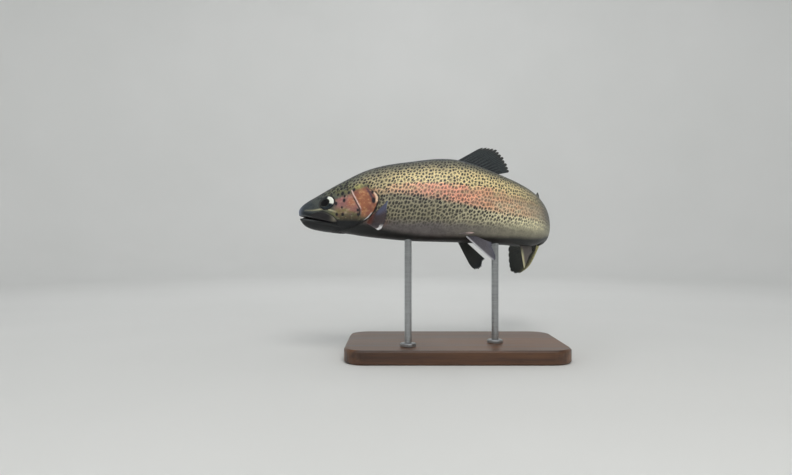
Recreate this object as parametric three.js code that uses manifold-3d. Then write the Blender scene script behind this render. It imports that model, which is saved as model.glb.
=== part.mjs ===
// A rainbow trout, life size, curved away to its right as it turns, on a plain stand of a
// flat plinth and two rods. Millimetres, +Z up, nose towards -X, left flank towards -Y.
//
// The fish is worked out in body coordinates and then bent onto its spine:
//   s    distance along the body from the snout
//   phi  angle round the section in degrees, 0 on the back, 90 on the left flank,
//        180 on the belly, negative on the right
import * as THREE from "three";
import { mergeVertices } from "three/addons/utils/BufferGeometryUtils.js";
import Module from "manifold-3d";

const wasm = await Module();
wasm.setup();

// ---- driving dimensions -------------------------------------------------------------
const BODY_LENGTH = 397; // snout to the end of the flesh, before the tail fin
const BANK = -11.3; // degrees, the belly swung towards the left
const NOSE_UP = -1.45; // degrees of pitch
const SNOUT_HEIGHT = 165; // over the surface that the stand rests on
const GAP = 0.35; // clearance between parts that meet
const AROUND = 28; // facets round the body

// Sections of the body: station, height above the spine, depth below it, half width.
const SECTIONS = [
  [0, 0, 0, 0],
  [7, 8.6, 16.2, 8.6],
  [27, 18.7, 23.9, 14.6],
  [53, 31.4, 28.2, 20.6],
  [87, 45.6, 34.1, 25.4],
  [127, 52.2, 38.6, 28],
  [181, 56, 40, 28.8],
  [237, 43, 40.2, 26],
  [293, 33, 36.4, 18.6],
  [345, 23, 22, 10.8],
  [397, 21.5, 19.5, 4.6],
];
const UPPER_FULLNESS = 0.9; // exponents of the section's sides, 1 is an ellipse
const LOWER_FULLNESS = 0.85;

// Heading of the spine in degrees from +X towards +Y, at stations along it.
const HEADING_AT = [0, 85, 181, 237, 290, 345, 397, 425, 457];
const HEADING = [-14.6, -2.7, 14.4, 31.4, 49.4, 71, 102, 138, 166];

// Edge of the gill opening: station for each angle round the section.
const GILL_ANGLE = [0, 50, 68, 76, 84, 93, 107, 120, 130, 150, 180];
const GILL_STATION = [87, 85, 83, 90, 93, 91.5, 87.5, 81.5, 74, 58, 47];
// Ridge of the preopercle, the front edge of the gill cover.
const RIDGE_ANGLE = [64, 73, 90, 102, 118, 128];
const RIDGE_STATION = [64.5, 66.5, 71.5, 74.5, 73, 70];
const COVER_ANGLES = [67, 123]; // upper and lower end of the gill cover
const COVER_THICKNESS = 3;

// The lips as straight lines in the side view: height at the snout and fall per mm.
const UPPER_LIP = { height: -3.9, fall: 0.31 };
const LOWER_LIP = { height: -7.5, fall: 0.247 };
const MOUTH_END = 48;
const JAW_END = 61; // station of the lower jaw's rear end at its underside
// The maxilla over the upper lip: its height at shares of its length.
const MAXILLA = {
  start: 15,
  end: 48.5,
  thickness: 2.2,
  share: [0, 0.15, 0.42, 0.7, 0.92, 1],
  height: [1.5, 4.6, 8.4, 7.9, 5, 2.2],
};

const EYE = { station: 38, angle: 80, along: 9.2, tall: 7.9, front: 2.8, back: 8, sunk: 1.1 };

// Where the flesh is parted into lengths.
const TRUNK_CUTS = [168, 240, 335];

const FIN_SINK = 3; // how far a fin's root reaches into the flesh

// Median fins: base from and to, then the rays' lengths and their slant over the body's
// line at four shares of the base, and the thickness at the root and at the edge.
const RAY_SHARES = [0, 0.3, 0.62, 1];
const DORSAL = {
  from: 182,
  to: 230,
  lengths: [38.5, 45.5, 42, 30],
  slants: [31, 32.5, 28, 16],
  root: 3,
  edge: 1.2,
};
const ADIPOSE = {
  from: 313,
  to: 323,
  lengths: [20, 22, 20, 13],
  slants: [36, 30, 24, 16],
  root: 2.6,
  edge: 1.4,
};
const ANAL = {
  from: 270,
  to: 293,
  lengths: [27, 19, 11.5, 7],
  slants: [81, 80, 80, 78],
  root: 3,
  edge: 1.2,
};
// The tail fin: rays' lengths at shares of the half height, and how far they spread.
const TAIL = {
  share: [0, 0.4, 0.6, 0.75, 0.9, 1],
  length: [50, 53, 51.5, 44, 32, 20],
  flare: 1.13,
  root: 4.6,
  edge: 1.3,
};

// Paired fins: root station and angle, length and rise of the base, and the first and
// last rays as [back, out, up].
const PECTORAL_LEFT = {
  station: 83,
  angle: 125,
  base: 4,
  rise: 8,
  first: [19, 52, -21],
  last: [22, 31, 6.5],
};
const PECTORAL_RIGHT = {
  station: 82.5,
  angle: -125,
  base: 4,
  rise: 8,
  first: [55, 17, -4],
  last: [30, 9, 6],
};
const PELVIC_LEFT = {
  station: 188,
  angle: 153.5,
  base: 8,
  rise: 1,
  first: [23, 14, -30],
  last: [17.7, 5, -9.7],
};
const PELVIC_RIGHT = {
  station: 188,
  angle: -153.5,
  base: 8,
  rise: 1,
  first: [22, 17, -28],
  last: [30, 13, -19],
};
const PAIRED_ROOT = 3;
const PAIRED_EDGE = 1.1;

const PLINTH = { length: 250, width: 140, height: 16, corner: 22, bevel: 2 };
const PLINTH_CENTRE = { x: 178, y: 22 }; // from the snout
const ROD_STATIONS = { front: 124, rear: 228 };
const ROD = { radius: 4, foot: 9, footHeight: 3.5, sink: 9, socket: 10 };

// ---- body coordinates ---------------------------------------------------------------
const radians = THREE.MathUtils.degToRad;
const lerp = THREE.MathUtils.lerp;

// Smooth curve through the values ys at the places xs.
function curve(x, xs, ys) {
  const last = xs.length - 1;
  const at = Math.min(Math.max(x, xs[0]), xs[last]);
  let i = 0;
  while (i < last - 1 && at > xs[i + 1]) i += 1;
  const slope = (k) => (ys[k + 1] - ys[k]) / (xs[k + 1] - xs[k]);
  const tangent = (k) => {
    if (k === 0) return slope(0);
    if (k === last) return slope(last - 1);
    const before = xs[k] - xs[k - 1];
    const after = xs[k + 1] - xs[k];
    return (slope(k - 1) * after + slope(k) * before) / (before + after);
  };
  const width = xs[i + 1] - xs[i];
  const t = (at - xs[i]) / width;
  const t2 = t * t;
  const t3 = t2 * t;
  return (
    (2 * t3 - 3 * t2 + 1) * ys[i] +
    (t3 - 2 * t2 + t) * width * tangent(i) +
    (3 * t2 - 2 * t3) * ys[i + 1] +
    (t3 - t2) * width * tangent(i + 1)
  );
}

const SECTION_ROOTS = SECTIONS.map((row) => Math.sqrt(row[0]));
const sectionCurve = (s, column) =>
  curve(Math.sqrt(Math.max(s, 0)), SECTION_ROOTS, SECTIONS.map((row) => row[column]));

// Half axes of the section at a station.
function section(s) {
  return { above: sectionCurve(s, 1), below: sectionCurve(s, 2), half: sectionCurve(s, 3) };
}

// The spine, summed from its heading in steps of 1 mm.
const SPINE = [{ x: 0, y: 0 }];
for (let s = 0; s < HEADING_AT.at(-1); s += 1) {
  const heading = radians(curve(s + 0.5, HEADING_AT, HEADING));
  const before = SPINE.at(-1);
  SPINE.push({ x: before.x + Math.cos(heading), y: before.y + Math.sin(heading) });
}

const attitude = new THREE.Matrix4()
  .makeRotationY(radians(NOSE_UP))
  .multiply(new THREE.Matrix4().makeRotationX(radians(BANK)));

// A point given by station, distance to the left of the spine and height over it.
function place(s, left, up) {
  const clamped = Math.min(Math.max(s, 0), SPINE.length - 1.001);
  const step = Math.floor(clamped);
  const part = clamped - step;
  const heading = radians(curve(s, HEADING_AT, HEADING));
  const ahead = s - clamped;
  const x = lerp(SPINE[step].x, SPINE[step + 1].x, part) + ahead * Math.cos(heading);
  const y = lerp(SPINE[step].y, SPINE[step + 1].y, part) + ahead * Math.sin(heading);
  return new THREE.Vector3(
    x + left * Math.sin(heading),
    y - left * Math.cos(heading),
    up,
  ).applyMatrix4(attitude);
}

// Left and up coordinates of the surface at phi, moved outwards by lift.
function around(s, phi, lift = 0) {
  const { above, below, half } = section(s);
  const cosine = Math.cos(radians(phi));
  const sine = Math.sin(radians(phi));
  const upper = cosine >= 0;
  const tall = upper ? above : below;
  const fullness = upper ? UPPER_FULLNESS : LOWER_FULLNESS;
  const left = half * Math.sign(sine) * Math.abs(sine) ** fullness;
  const up = tall * cosine;
  const outward = new THREE.Vector2(left / (half * half), up / (tall * tall)).normalize();
  return { left: left + outward.x * lift, up: up + outward.y * lift };
}

function skin(s, phi, lift = 0) {
  const at = around(s, phi, lift);
  return place(s, at.left, at.up);
}

const gillStation = (phi) => curve(Math.abs(phi), GILL_ANGLE, GILL_STATION);
const ridgeStation = (phi) => curve(Math.abs(phi), RIDGE_ANGLE, RIDGE_STATION);

// ---- closed solids ------------------------------------------------------------------
function solid(points, triangles) {
  const geometry = new THREE.BufferGeometry().setFromPoints(points);
  geometry.setIndex(triangles);
  return geometry;
}

// A closed solid through rings of points, its two ends closed by fans. The rings run
// so that their order turns from the back over the left flank to the belly.
function loft(rings) {
  const count = rings[0].length;
  const points = rings.flat();
  const triangles = [];
  for (let i = 0; i + 1 < rings.length; i += 1) {
    for (let j = 0; j < count; j += 1) {
      const a = i * count + j;
      const b = i * count + ((j + 1) % count);
      triangles.push(a, a + count, b, b, a + count, b + count);
    }
  }
  const middleOf = (ring) =>
    ring.reduce((sum, p) => sum.add(p), new THREE.Vector3()).divideScalar(count);
  const front = points.push(middleOf(rings[0])) - 1;
  const back = points.push(middleOf(rings.at(-1))) - 1;
  const lastRing = (rings.length - 1) * count;
  for (let j = 0; j < count; j += 1) {
    const next = (j + 1) % count;
    triangles.push(front, j, next, back, lastRing + next, lastRing + j);
  }
  return solid(points, triangles);
}

// A closed plate between two grids of points, outer and inner, of the same size.
function plate(columns, rows, outer, inner) {
  const points = [];
  for (const face of [outer, inner]) {
    for (let i = 0; i <= columns; i += 1) {
      for (let j = 0; j <= rows; j += 1) points.push(face(i / columns, j / rows));
    }
  }
  const inwards = (columns + 1) * (rows + 1);
  const at = (i, j) => i * (rows + 1) + j;
  const triangles = [];
  const quad = (a, b, c, d) => triangles.push(a, b, c, a, c, d);
  for (let i = 0; i < columns; i += 1) {
    for (let j = 0; j < rows; j += 1) {
      const corners = [at(i, j), at(i + 1, j), at(i + 1, j + 1), at(i, j + 1)];
      quad(...corners);
      quad(...corners.map((corner) => corner + inwards).reverse());
    }
  }
  const edge = (a, b) => quad(b, a, a + inwards, b + inwards);
  for (let i = 0; i < columns; i += 1) {
    edge(at(i, 0), at(i + 1, 0));
    edge(at(i + 1, rows), at(i, rows));
  }
  for (let j = 0; j < rows; j += 1) {
    edge(at(columns, j), at(columns, j + 1));
    edge(at(0, j + 1), at(0, j));
  }
  return solid(points, triangles);
}

// The geometry as a merged mesh of positions alone, its faces turned to face out.
function facingOut(geometry) {
  const bare = geometry.clone();
  bare.deleteAttribute("normal");
  bare.deleteAttribute("uv");
  const merged = mergeVertices(bare, 1e-4);
  const index = merged.index.array;
  const corner = (i) => new THREE.Vector3().fromBufferAttribute(merged.attributes.position, i);
  let volume = 0;
  for (let i = 0; i < index.length; i += 3) {
    const [a, b, c] = [index[i], index[i + 1], index[i + 2]].map(corner);
    volume += a.dot(b.cross(c)) / 6;
  }
  if (volume > 0) return merged;
  for (let i = 0; i < index.length; i += 3) {
    [index[i + 1], index[i + 2]] = [index[i + 2], index[i + 1]];
  }
  return merged;
}

function toManifold(geometry) {
  const closed = facingOut(geometry);
  return new wasm.Manifold(
    new wasm.Mesh({
      numProp: 3,
      vertProperties: new Float32Array(closed.attributes.position.array),
      triVerts: new Uint32Array(closed.index.array),
    }),
  );
}

function toGeometry(manifold) {
  const mesh = manifold.getMesh();
  const geometry = new THREE.BufferGeometry();
  geometry.setAttribute("position", new THREE.BufferAttribute(mesh.vertProperties, 3));
  geometry.setIndex(new THREE.BufferAttribute(mesh.triVerts, 1));
  return geometry;
}

// The first geometry with all the others cut away.
function cut(geometry, ...cutters) {
  const rest = cutters.reduce(
    (left, cutter) => left.subtract(toManifold(cutter)),
    toManifold(geometry),
  );
  return toGeometry(rest);
}

function common(first, second) {
  return toGeometry(toManifold(first).intersect(toManifold(second)));
}

// ---- flesh --------------------------------------------------------------------------
const angles = Array.from({ length: AROUND }, (_, j) => (360 * j) / AROUND - 180);

// A length of the body between two stations, which may change round the section.
function bodyLength(startOf, endOf, steps, ease = (u) => u) {
  const rings = [];
  for (let i = 0; i <= steps; i += 1) {
    const u = ease(i / steps);
    rings.push(angles.map((phi) => skin(lerp(startOf(phi), endOf(phi), u), phi)));
  }
  return loft(rings);
}

function wholeHead() {
  const tip = 0.3;
  return bodyLength(() => tip, gillStation, 13, (u) => u ** 1.7);
}

// Everything below a lip line and in front of the jaw's end, widened by grow.
function jawBlock(lip, grow) {
  const steps = 10;
  const rings = [];
  const wide = 45;
  const low = -60;
  for (let i = 0; i <= steps; i += 1) {
    const u = i / steps;
    const top = lerp(-4, MOUTH_END + grow, u);
    const bottom = lerp(-4, JAW_END + grow, u);
    const height = lip.height - lip.fall * top;
    rings.push([
      place(top, -wide, height),
      place(top, wide, height),
      place(bottom, wide, low),
      place(bottom, -wide, low),
    ]);
  }
  return loft(rings);
}

// A plate let into the side of the head: at(u, v) gives [station, angle].
function sidePlate(side, at, columns, rows, thickness, lift) {
  const face = (height) => (u, v) => {
    const [s, phi] = at(u, v);
    return skin(s, side * phi, height);
  };
  return plate(columns, rows, face(lift), face(-thickness));
}

function gillCover(side, grow, lift) {
  const turn = grow * 3;
  const at = (u, v) => {
    const phi = lerp(COVER_ANGLES[0] - turn, COVER_ANGLES[1] + turn, v);
    const start = ridgeStation(phi) - grow;
    return [lerp(start, gillStation(phi) - 0.02 + grow * 4, u), phi];
  };
  return sidePlate(side, at, 4, 10, COVER_THICKNESS + grow, lift);
}

// Angle round the section where the surface reaches a given height.
function angleAtHeight(s, up) {
  const { above, below } = section(s);
  const tall = up >= 0 ? above : below;
  return THREE.MathUtils.radToDeg(Math.acos(THREE.MathUtils.clamp(up / tall, -1, 1)));
}

function maxilla(side, grow, lift) {
  const at = (u, v) => {
    const s = lerp(MAXILLA.start - grow, MAXILLA.end + grow, u);
    const lip = UPPER_LIP.height - UPPER_LIP.fall * s;
    const low = lip + 0.25 - grow * 4;
    const high = lip + curve(u, MAXILLA.share, MAXILLA.height) + grow;
    return [s, angleAtHeight(s, lerp(high, low, v))];
  };
  return sidePlate(side, at, 10, 3, MAXILLA.thickness + grow, lift);
}

// The eyeball: a shallow dome in front of its widest ring and a deep one behind.
function eye(side, grow = 0) {
  const on = skin(EYE.station, side * EYE.angle);
  const ahead = skin(EYE.station - 3, side * EYE.angle).sub(
    skin(EYE.station + 3, side * EYE.angle),
  );
  const over = skin(EYE.station, side * (EYE.angle - 8)).sub(
    skin(EYE.station, side * (EYE.angle + 8)),
  );
  const outward = new THREE.Vector3().crossVectors(over, ahead).multiplyScalar(side);
  outward.normalize();
  ahead.normalize();
  const tall = new THREE.Vector3().crossVectors(outward, ahead);
  const globe = new THREE.SphereGeometry(1, 16, 9).rotateX(Math.PI / 2);
  const position = globe.attributes.position;
  for (let i = 0; i < position.count; i += 1) {
    const depth = position.getZ(i) > 0 ? EYE.front : EYE.back;
    position.setXYZ(
      i,
      position.getX(i) * (EYE.along + grow),
      position.getY(i) * (EYE.tall + grow),
      position.getZ(i) * (depth + grow),
    );
  }
  globe.applyMatrix4(new THREE.Matrix4().makeBasis(ahead, tall, outward));
  const centre = on.addScaledVector(outward, -EYE.sunk);
  return globe.translate(centre.x, centre.y, centre.z);
}

// ---- fins ---------------------------------------------------------------------------
// A fin as a plate: at(u, v) gives its middle surface with u along the base and v from
// the root to the edge, and normal(u, v) the direction through it.
function fin(at, normal, thickness, columns = 8, rows = 5) {
  const face = (side) => (u, v) =>
    at(u, v).addScaledVector(normal(u, v), (side * thickness(v)) / 2);
  return plate(columns, rows, face(1), face(-1));
}

const sideways = (s) => place(s, 1, 0).sub(place(s, 0, 0));

// A fin on the back (way 1) or on the belly (way -1).
function medianFin(shape, way, grow = 0) {
  const sink = FIN_SINK + grow;
  const from = shape.from - grow;
  const to = shape.to + grow;
  const at = (u, v) => {
    const s = lerp(from, to, u);
    const { above, below } = section(s);
    const surface = way > 0 ? above : below;
    const slant = radians(curve(u, RAY_SHARES, shape.slants));
    const length = curve(u, RAY_SHARES, shape.lengths) + sink;
    const out = v * length;
    return place(
      s + (out - sink) * Math.cos(slant),
      0,
      way * (surface - sink + out * Math.sin(slant)),
    );
  };
  const thickness = (v) => lerp(shape.root, shape.edge, v) + 2 * grow;
  return fin(at, () => sideways((from + to) / 2), thickness, 9, 4);
}

function tailFin() {
  const root = section(BODY_LENGTH);
  const at = (u, v) => {
    const across = 2 * u - 1;
    const length = curve(Math.abs(across), TAIL.share, TAIL.length);
    const start = across > 0 ? root.above * across : root.below * across;
    const back = GAP + v * length;
    return place(BODY_LENGTH + back, 0, start * 0.97 + TAIL.flare * across * v * length);
  };
  const normal = (u, v) => sideways(BODY_LENGTH + GAP + v * TAIL.length[0]);
  const thickness = (v) => lerp(TAIL.root, TAIL.edge, v ** 0.6);
  return fin(at, normal, thickness, 12, 8);
}

// Vector of [back, out, up] at a station, on the side that angle is on.
function bodyVector(s, side, [back, out, up]) {
  const origin = place(s, 0, 0);
  const along = place(s + 1, 0, 0).sub(origin);
  const left = place(s, 1, 0).sub(origin);
  const over = place(s, 0, 1).sub(origin);
  return along
    .multiplyScalar(back)
    .addScaledVector(left, side * out)
    .addScaledVector(over, up);
}

function pairedFin(shape, grow = 0) {
  const side = Math.sign(shape.angle);
  const root = around(shape.station, shape.angle, -FIN_SINK);
  const first = bodyVector(shape.station, side, shape.first);
  const last = bodyVector(shape.station, side, shape.last);
  const reach = Math.max(first.length(), last.length());
  const normal = new THREE.Vector3().crossVectors(first, last).normalize();
  const wider = 1 + (3.5 * grow) / Math.hypot(shape.base, shape.rise);
  const at = (u, v) => {
    const across = wider * (u - 0.5);
    const base = place(
      shape.station + shape.base * across,
      root.left,
      root.up + shape.rise * across,
    );
    const ray = first.clone().lerp(last, u);
    const along = ray.clone().normalize();
    const bulge = 1 + 0.16 * Math.sin(Math.PI * Math.min(1, u * 1.25));
    const corner = 1 - 0.12 * Math.max(0, 1 - u / 0.08);
    const length = ray.length() * bulge * corner + FIN_SINK + 4 * grow;
    const hollow = 0.05 * reach * v * v;
    return base.addScaledVector(along, v * length - 3 * grow).addScaledVector(normal, hollow);
  };
  const thickness = (v) => lerp(PAIRED_ROOT, PAIRED_EDGE, v ** 0.7) + 4 * grow;
  return fin(at, () => normal, thickness, 8, 5);
}

// ---- stand --------------------------------------------------------------------------
const bellyAt = (s) => skin(s, 180);
const snoutOffset = { x: -PLINTH_CENTRE.x, y: -PLINTH_CENTRE.y, z: SNOUT_HEIGHT };

// A rod with its foot, in the fish's own frame; the plinth's top is at this height.
const plinthTop = PLINTH.height - SNOUT_HEIGHT;

function rod(station, grow = 0) {
  const belly = bellyAt(station);
  const bottom = plinthTop - ROD.sink - grow;
  const top = belly.z + ROD.socket + grow;
  const foot = plinthTop + GAP;
  const radius = ROD.radius + grow;
  const profile = [
    [0, bottom],
    [radius, bottom],
    [radius, foot],
    [ROD.foot + grow, foot],
    [ROD.foot + grow, foot + ROD.footHeight - 1],
    [ROD.foot - 1 + grow, foot + ROD.footHeight],
    [radius, foot + ROD.footHeight],
    [radius, top],
    [0, top],
  ].map(([r, z]) => new THREE.Vector2(r, z));
  const turnedRod = new THREE.LatheGeometry(profile, 14);
  turnedRod.rotateX(Math.PI / 2);
  return turnedRod.translate(belly.x, belly.y, 0);
}

function rodHole(station) {
  const belly = bellyAt(station);
  const depth = ROD.sink + GAP;
  const hole = new THREE.CylinderGeometry(ROD.radius + GAP, ROD.radius + GAP, 2 * depth, 14);
  hole.rotateX(Math.PI / 2);
  return hole.translate(belly.x, belly.y, plinthTop);
}

function plinth() {
  const { length, width, height, corner, bevel } = PLINTH;
  const x = length / 2 - bevel;
  const y = width / 2 - bevel;
  const outline = new THREE.Shape();
  outline.moveTo(-x + corner, -y);
  outline.lineTo(x - corner, -y);
  outline.absarc(x - corner, -y + corner, corner, -Math.PI / 2, 0);
  outline.absarc(x - corner, y - corner, corner, 0, Math.PI / 2);
  outline.absarc(-x + corner, y - corner, corner, Math.PI / 2, Math.PI);
  outline.absarc(-x + corner, -y + corner, corner, Math.PI, 1.5 * Math.PI);
  const slab = new THREE.ExtrudeGeometry(outline, {
    depth: height - 2 * bevel,
    bevelThickness: bevel,
    bevelSize: bevel,
    bevelSegments: 1,
    curveSegments: 4,
  });
  slab.translate(PLINTH_CENTRE.x, PLINTH_CENTRE.y, plinthTop - height + bevel);
  return cut(slab, ...Object.values(ROD_STATIONS).map(rodHole));
}

// ---- assembly -----------------------------------------------------------------------
const trout = new THREE.Group();

function add(name, geometry, colour, roughness, metalness = 0) {
  const flat = facingOut(geometry).toNonIndexed();
  flat.translate(snoutOffset.x, snoutOffset.y, snoutOffset.z);
  flat.computeVertexNormals();
  const material = new THREE.MeshStandardMaterial({ color: colour, roughness, metalness });
  const mesh = new THREE.Mesh(flat, material);
  mesh.name = name;
  trout.add(mesh);
}

const SIDES = { left: 1, right: -1 };
const COLOURS = {
  head: 0x6d665a,
  jaw: 0x33383a,
  maxilla: 0x6a6754,
  cover: 0x9a6a4c,
  eye: 0x20262a,
  trunk: 0x9a9478,
  tail: 0x8d8a78,
  dorsal: 0x363d40,
  fin: 0x56585a,
  plinth: 0x5b3d28,
  rod: 0xa7a9ab,
};

function addHead() {
  const head = wholeHead();
  const cutters = [jawBlock(UPPER_LIP, GAP)];
  for (const side of Object.values(SIDES)) {
    cutters.push(eye(side, GAP), gillCover(side, GAP, 2), maxilla(side, GAP, 2));
  }
  add("head", cut(head, ...cutters), COLOURS.head, 0.4);
  add("lower_jaw", common(head, jawBlock(LOWER_LIP, 0)), COLOURS.jaw, 0.4);
  for (const [name, side] of Object.entries(SIDES)) {
    const away = [eye(side, GAP), jawBlock(UPPER_LIP, GAP)];
    add(`maxilla_${name}`, cut(maxilla(side, 0, 0), ...away), COLOURS.maxilla, 0.4);
    add(`gill_cover_${name}`, gillCover(side, 0, 0), COLOURS.cover, 0.35);
    add(`eye_${name}`, eye(side), COLOURS.eye, 0.1);
  }
}

function addTrunk() {
  const pectorals = [pairedFin(PECTORAL_LEFT, GAP), pairedFin(PECTORAL_RIGHT, GAP)];
  const pelvics = [pairedFin(PELVIC_LEFT, GAP), pairedFin(PELVIC_RIGHT, GAP)];
  const [first, second, third] = TRUNK_CUTS;
  const at = (s) => () => s;
  const front = bodyLength((phi) => gillStation(phi) + GAP, at(first), 8);
  const middle = bodyLength(at(first + GAP), at(second), 6);
  const rear = bodyLength(at(second + GAP), at(third), 8);
  const tail = bodyLength(at(third + GAP), at(BODY_LENGTH), 7);
  const dorsal = medianFin(DORSAL, 1, GAP);
  const anal = medianFin(ANAL, -1, GAP);
  const adipose = medianFin(ADIPOSE, 1, GAP);
  const frontRod = rod(ROD_STATIONS.front, GAP);
  const rearRod = rod(ROD_STATIONS.rear, GAP);
  const covers = [gillCover(1, GAP, 2), gillCover(-1, GAP, 2)];
  add("trunk_front", cut(front, frontRod, ...covers, ...pectorals), COLOURS.trunk, 0.35);
  add("trunk_middle", cut(middle, dorsal, rearRod, ...pelvics), COLOURS.trunk, 0.35);
  add("trunk_rear", cut(rear, anal, adipose), COLOURS.trunk, 0.35);
  add("tail_peduncle", tail, COLOURS.tail, 0.35);
}

function addFins() {
  add("dorsal_fin", medianFin(DORSAL, 1), COLOURS.dorsal, 0.5);
  add("adipose_fin", medianFin(ADIPOSE, 1), COLOURS.fin, 0.5);
  add("anal_fin", medianFin(ANAL, -1), COLOURS.fin, 0.5);
  add("caudal_fin", tailFin(), COLOURS.dorsal, 0.5);
  add("pectoral_fin_left", pairedFin(PECTORAL_LEFT), COLOURS.fin, 0.5);
  add("pectoral_fin_right", pairedFin(PECTORAL_RIGHT), COLOURS.fin, 0.5);
  add("pelvic_fin_left", pairedFin(PELVIC_LEFT), COLOURS.fin, 0.5);
  add("pelvic_fin_right", pairedFin(PELVIC_RIGHT), COLOURS.fin, 0.5);
}

function addStand() {
  add("stand_plinth", plinth(), COLOURS.plinth, 0.5);
  add("stand_rod_front", rod(ROD_STATIONS.front), COLOURS.rod, 0.3, 1);
  add("stand_rod_rear", rod(ROD_STATIONS.rear), COLOURS.rod, 0.3, 1);
}

// The origin lies under the middle of the whole model, at the underside of the plinth.
function centre() {
  const middle = new THREE.Box3().setFromObject(trout).getCenter(new THREE.Vector3());
  for (const mesh of trout.children) mesh.geometry.translate(-middle.x, -middle.y, 0);
}

addHead();
addTrunk();
addFins();
addStand();
centre();

export default trout;
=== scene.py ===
"""A rainbow trout, life size, curved away to its right as it turns, on a plain stand.

The fish is worked out in body coordinates, as its solids are, and bent onto its spine:
  s     millimetres along the body from the snout
  phi   degrees round the section: 0 on the back, 90 on the left flank, 180 on the belly,
        negative on the right
  lift  millimetres out of the solids' surface
"""

import math

import bpy
import numpy as np
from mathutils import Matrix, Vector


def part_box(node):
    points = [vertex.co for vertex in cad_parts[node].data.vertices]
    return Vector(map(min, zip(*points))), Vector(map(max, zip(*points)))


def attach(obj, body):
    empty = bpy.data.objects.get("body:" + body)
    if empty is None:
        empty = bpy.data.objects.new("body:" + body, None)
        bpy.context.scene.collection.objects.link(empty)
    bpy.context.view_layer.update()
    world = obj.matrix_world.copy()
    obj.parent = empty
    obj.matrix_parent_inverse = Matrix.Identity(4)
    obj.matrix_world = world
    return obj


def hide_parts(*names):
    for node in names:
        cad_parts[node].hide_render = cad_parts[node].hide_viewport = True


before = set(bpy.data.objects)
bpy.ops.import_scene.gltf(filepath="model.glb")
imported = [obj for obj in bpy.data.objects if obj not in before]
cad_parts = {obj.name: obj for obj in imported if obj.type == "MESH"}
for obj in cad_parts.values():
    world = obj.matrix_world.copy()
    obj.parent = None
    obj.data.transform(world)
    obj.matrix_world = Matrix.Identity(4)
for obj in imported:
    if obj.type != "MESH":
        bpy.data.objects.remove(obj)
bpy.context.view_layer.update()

# ---- sizes shared with the solids, in millimetres and degrees -------------------------
BODY_LENGTH = 397
BANK = -11.3
NOSE_UP = -1.45
SNOUT_HEIGHT = 165
GAP = 0.35
PLINTH_CENTRE = (178, 22)

# Each row: station, height above the spine, depth below it and half width.
SECTIONS = np.array([
    [0, 0, 0, 0], [7, 8.6, 16.2, 8.6], [27, 18.7, 23.9, 14.6], [53, 31.4, 28.2, 20.6],
    [87, 45.6, 34.1, 25.4], [127, 52.2, 38.6, 28], [181, 56, 40, 28.8], [237, 43, 40.2, 26],
    [293, 33, 36.4, 18.6], [345, 23, 22, 10.8], [397, 21.5, 19.5, 4.6],
])
UPPER_FULLNESS = 0.9
LOWER_FULLNESS = 0.85
HEADING_AT = [0, 85, 181, 237, 290, 345, 397, 425, 457]
HEADING = [-14.6, -2.7, 14.4, 31.4, 49.4, 71, 102, 138, 166]

GILL_ANGLE = [0, 50, 68, 76, 84, 93, 107, 120, 130, 150, 180]
GILL_STATION = [87, 85, 83, 90, 93, 91.5, 87.5, 81.5, 74, 58, 47]
RIDGE_ANGLE = [64, 73, 90, 102, 118, 128]
RIDGE_STATION = [64.5, 66.5, 71.5, 74.5, 73, 70]
UPPER_LIP = {"height": -3.9, "fall": 0.31}
LOWER_LIP = {"height": -7.5, "fall": 0.247}
MOUTH_END = 48
JAW_START = 1.5
MAXILLA = {
    "start": 15,
    "end": 48.5,
    "share": [0, 0.15, 0.42, 0.7, 0.92, 1],
    "height": [1.5, 4.6, 8.4, 7.9, 5, 2.2],
}
EYE = {"station": 38, "angle": 80, "along": 9.2, "tall": 7.9, "front": 2.8, "back": 8, "sunk": 1.1}
NOSTRILS = [(18.6, 73.5), (21.6, 76.5)]

FIN_SINK = 3
RAY_SHARES = [0, 0.3, 0.62, 1]
DORSAL = {"from": 182, "to": 230, "lengths": [38.5, 45.5, 42, 30], "slants": [31, 32.5, 28, 16]}
ADIPOSE = {"from": 313, "to": 323, "lengths": [20, 22, 20, 13], "slants": [36, 30, 24, 16]}
ANAL = {"from": 270, "to": 293, "lengths": [27, 19, 11.5, 7], "slants": [81, 80, 80, 78]}
TAIL = {"share": [0, 0.4, 0.6, 0.75, 0.9, 1], "length": [50, 53, 51.5, 44, 32, 20]}
TAIL_FLARE = 1.13
PECTORAL_LEFT = {"station": 83, "angle": 125, "base": 4, "rise": 8}
PECTORAL_LEFT.update(first=[19, 52, -21], last=[22, 31, 6.5])
PECTORAL_RIGHT = {"station": 82.5, "angle": -125, "base": 4, "rise": 8}
PECTORAL_RIGHT.update(first=[55, 17, -4], last=[30, 9, 6])
PELVIC_LEFT = {"station": 188, "angle": 153.5, "base": 8, "rise": 1}
PELVIC_LEFT.update(first=[23, 14, -30], last=[17.7, 5, -9.7])
PELVIC_RIGHT = {"station": 188, "angle": -153.5, "base": 8, "rise": 1}
PELVIC_RIGHT.update(first=[22, 17, -28], last=[30, 13, -19])

# ---- sizes of what is built here ------------------------------------------------------
MM = 0.001  # metres
SKIN_DEPTH = 0.75  # the skin of the trunk lies this far inside the solids
HEAD_DEPTH = 0.2  # and that of the head, which has no scales
MOUTH_RECESS = 7  # how far the gape runs back at the snout
MOUTH_DEPTH = 0.55  # and into the head, as a share of the half width
SKIN_ROWS = 110  # from the back to the belly
LIP_ROWS = (64, 76)  # the rows of the upper and of the lower lip
GILL_RING = 88  # the ring that is bent to run along the edge of the gill cover
GILL_FOOT = 128  # the angle below which the rings don't bend any further
SCALE_ROWS = 62  # rows of scales from the back to the belly, on each side
SCALE_STEP = 2.3  # from one scale to the next along a row
SCALE_START = 50
SCALE_ROOT = 0.04  # how far the root of a scale stands over the skin
SCALE_TILT = 0.26  # and the tip over the root
SCALE_THICKNESS = 0.1
SCALE_SHIFT, ROW_SHIFT = 0.15, 0.06  # how far scales stray from their places
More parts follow.
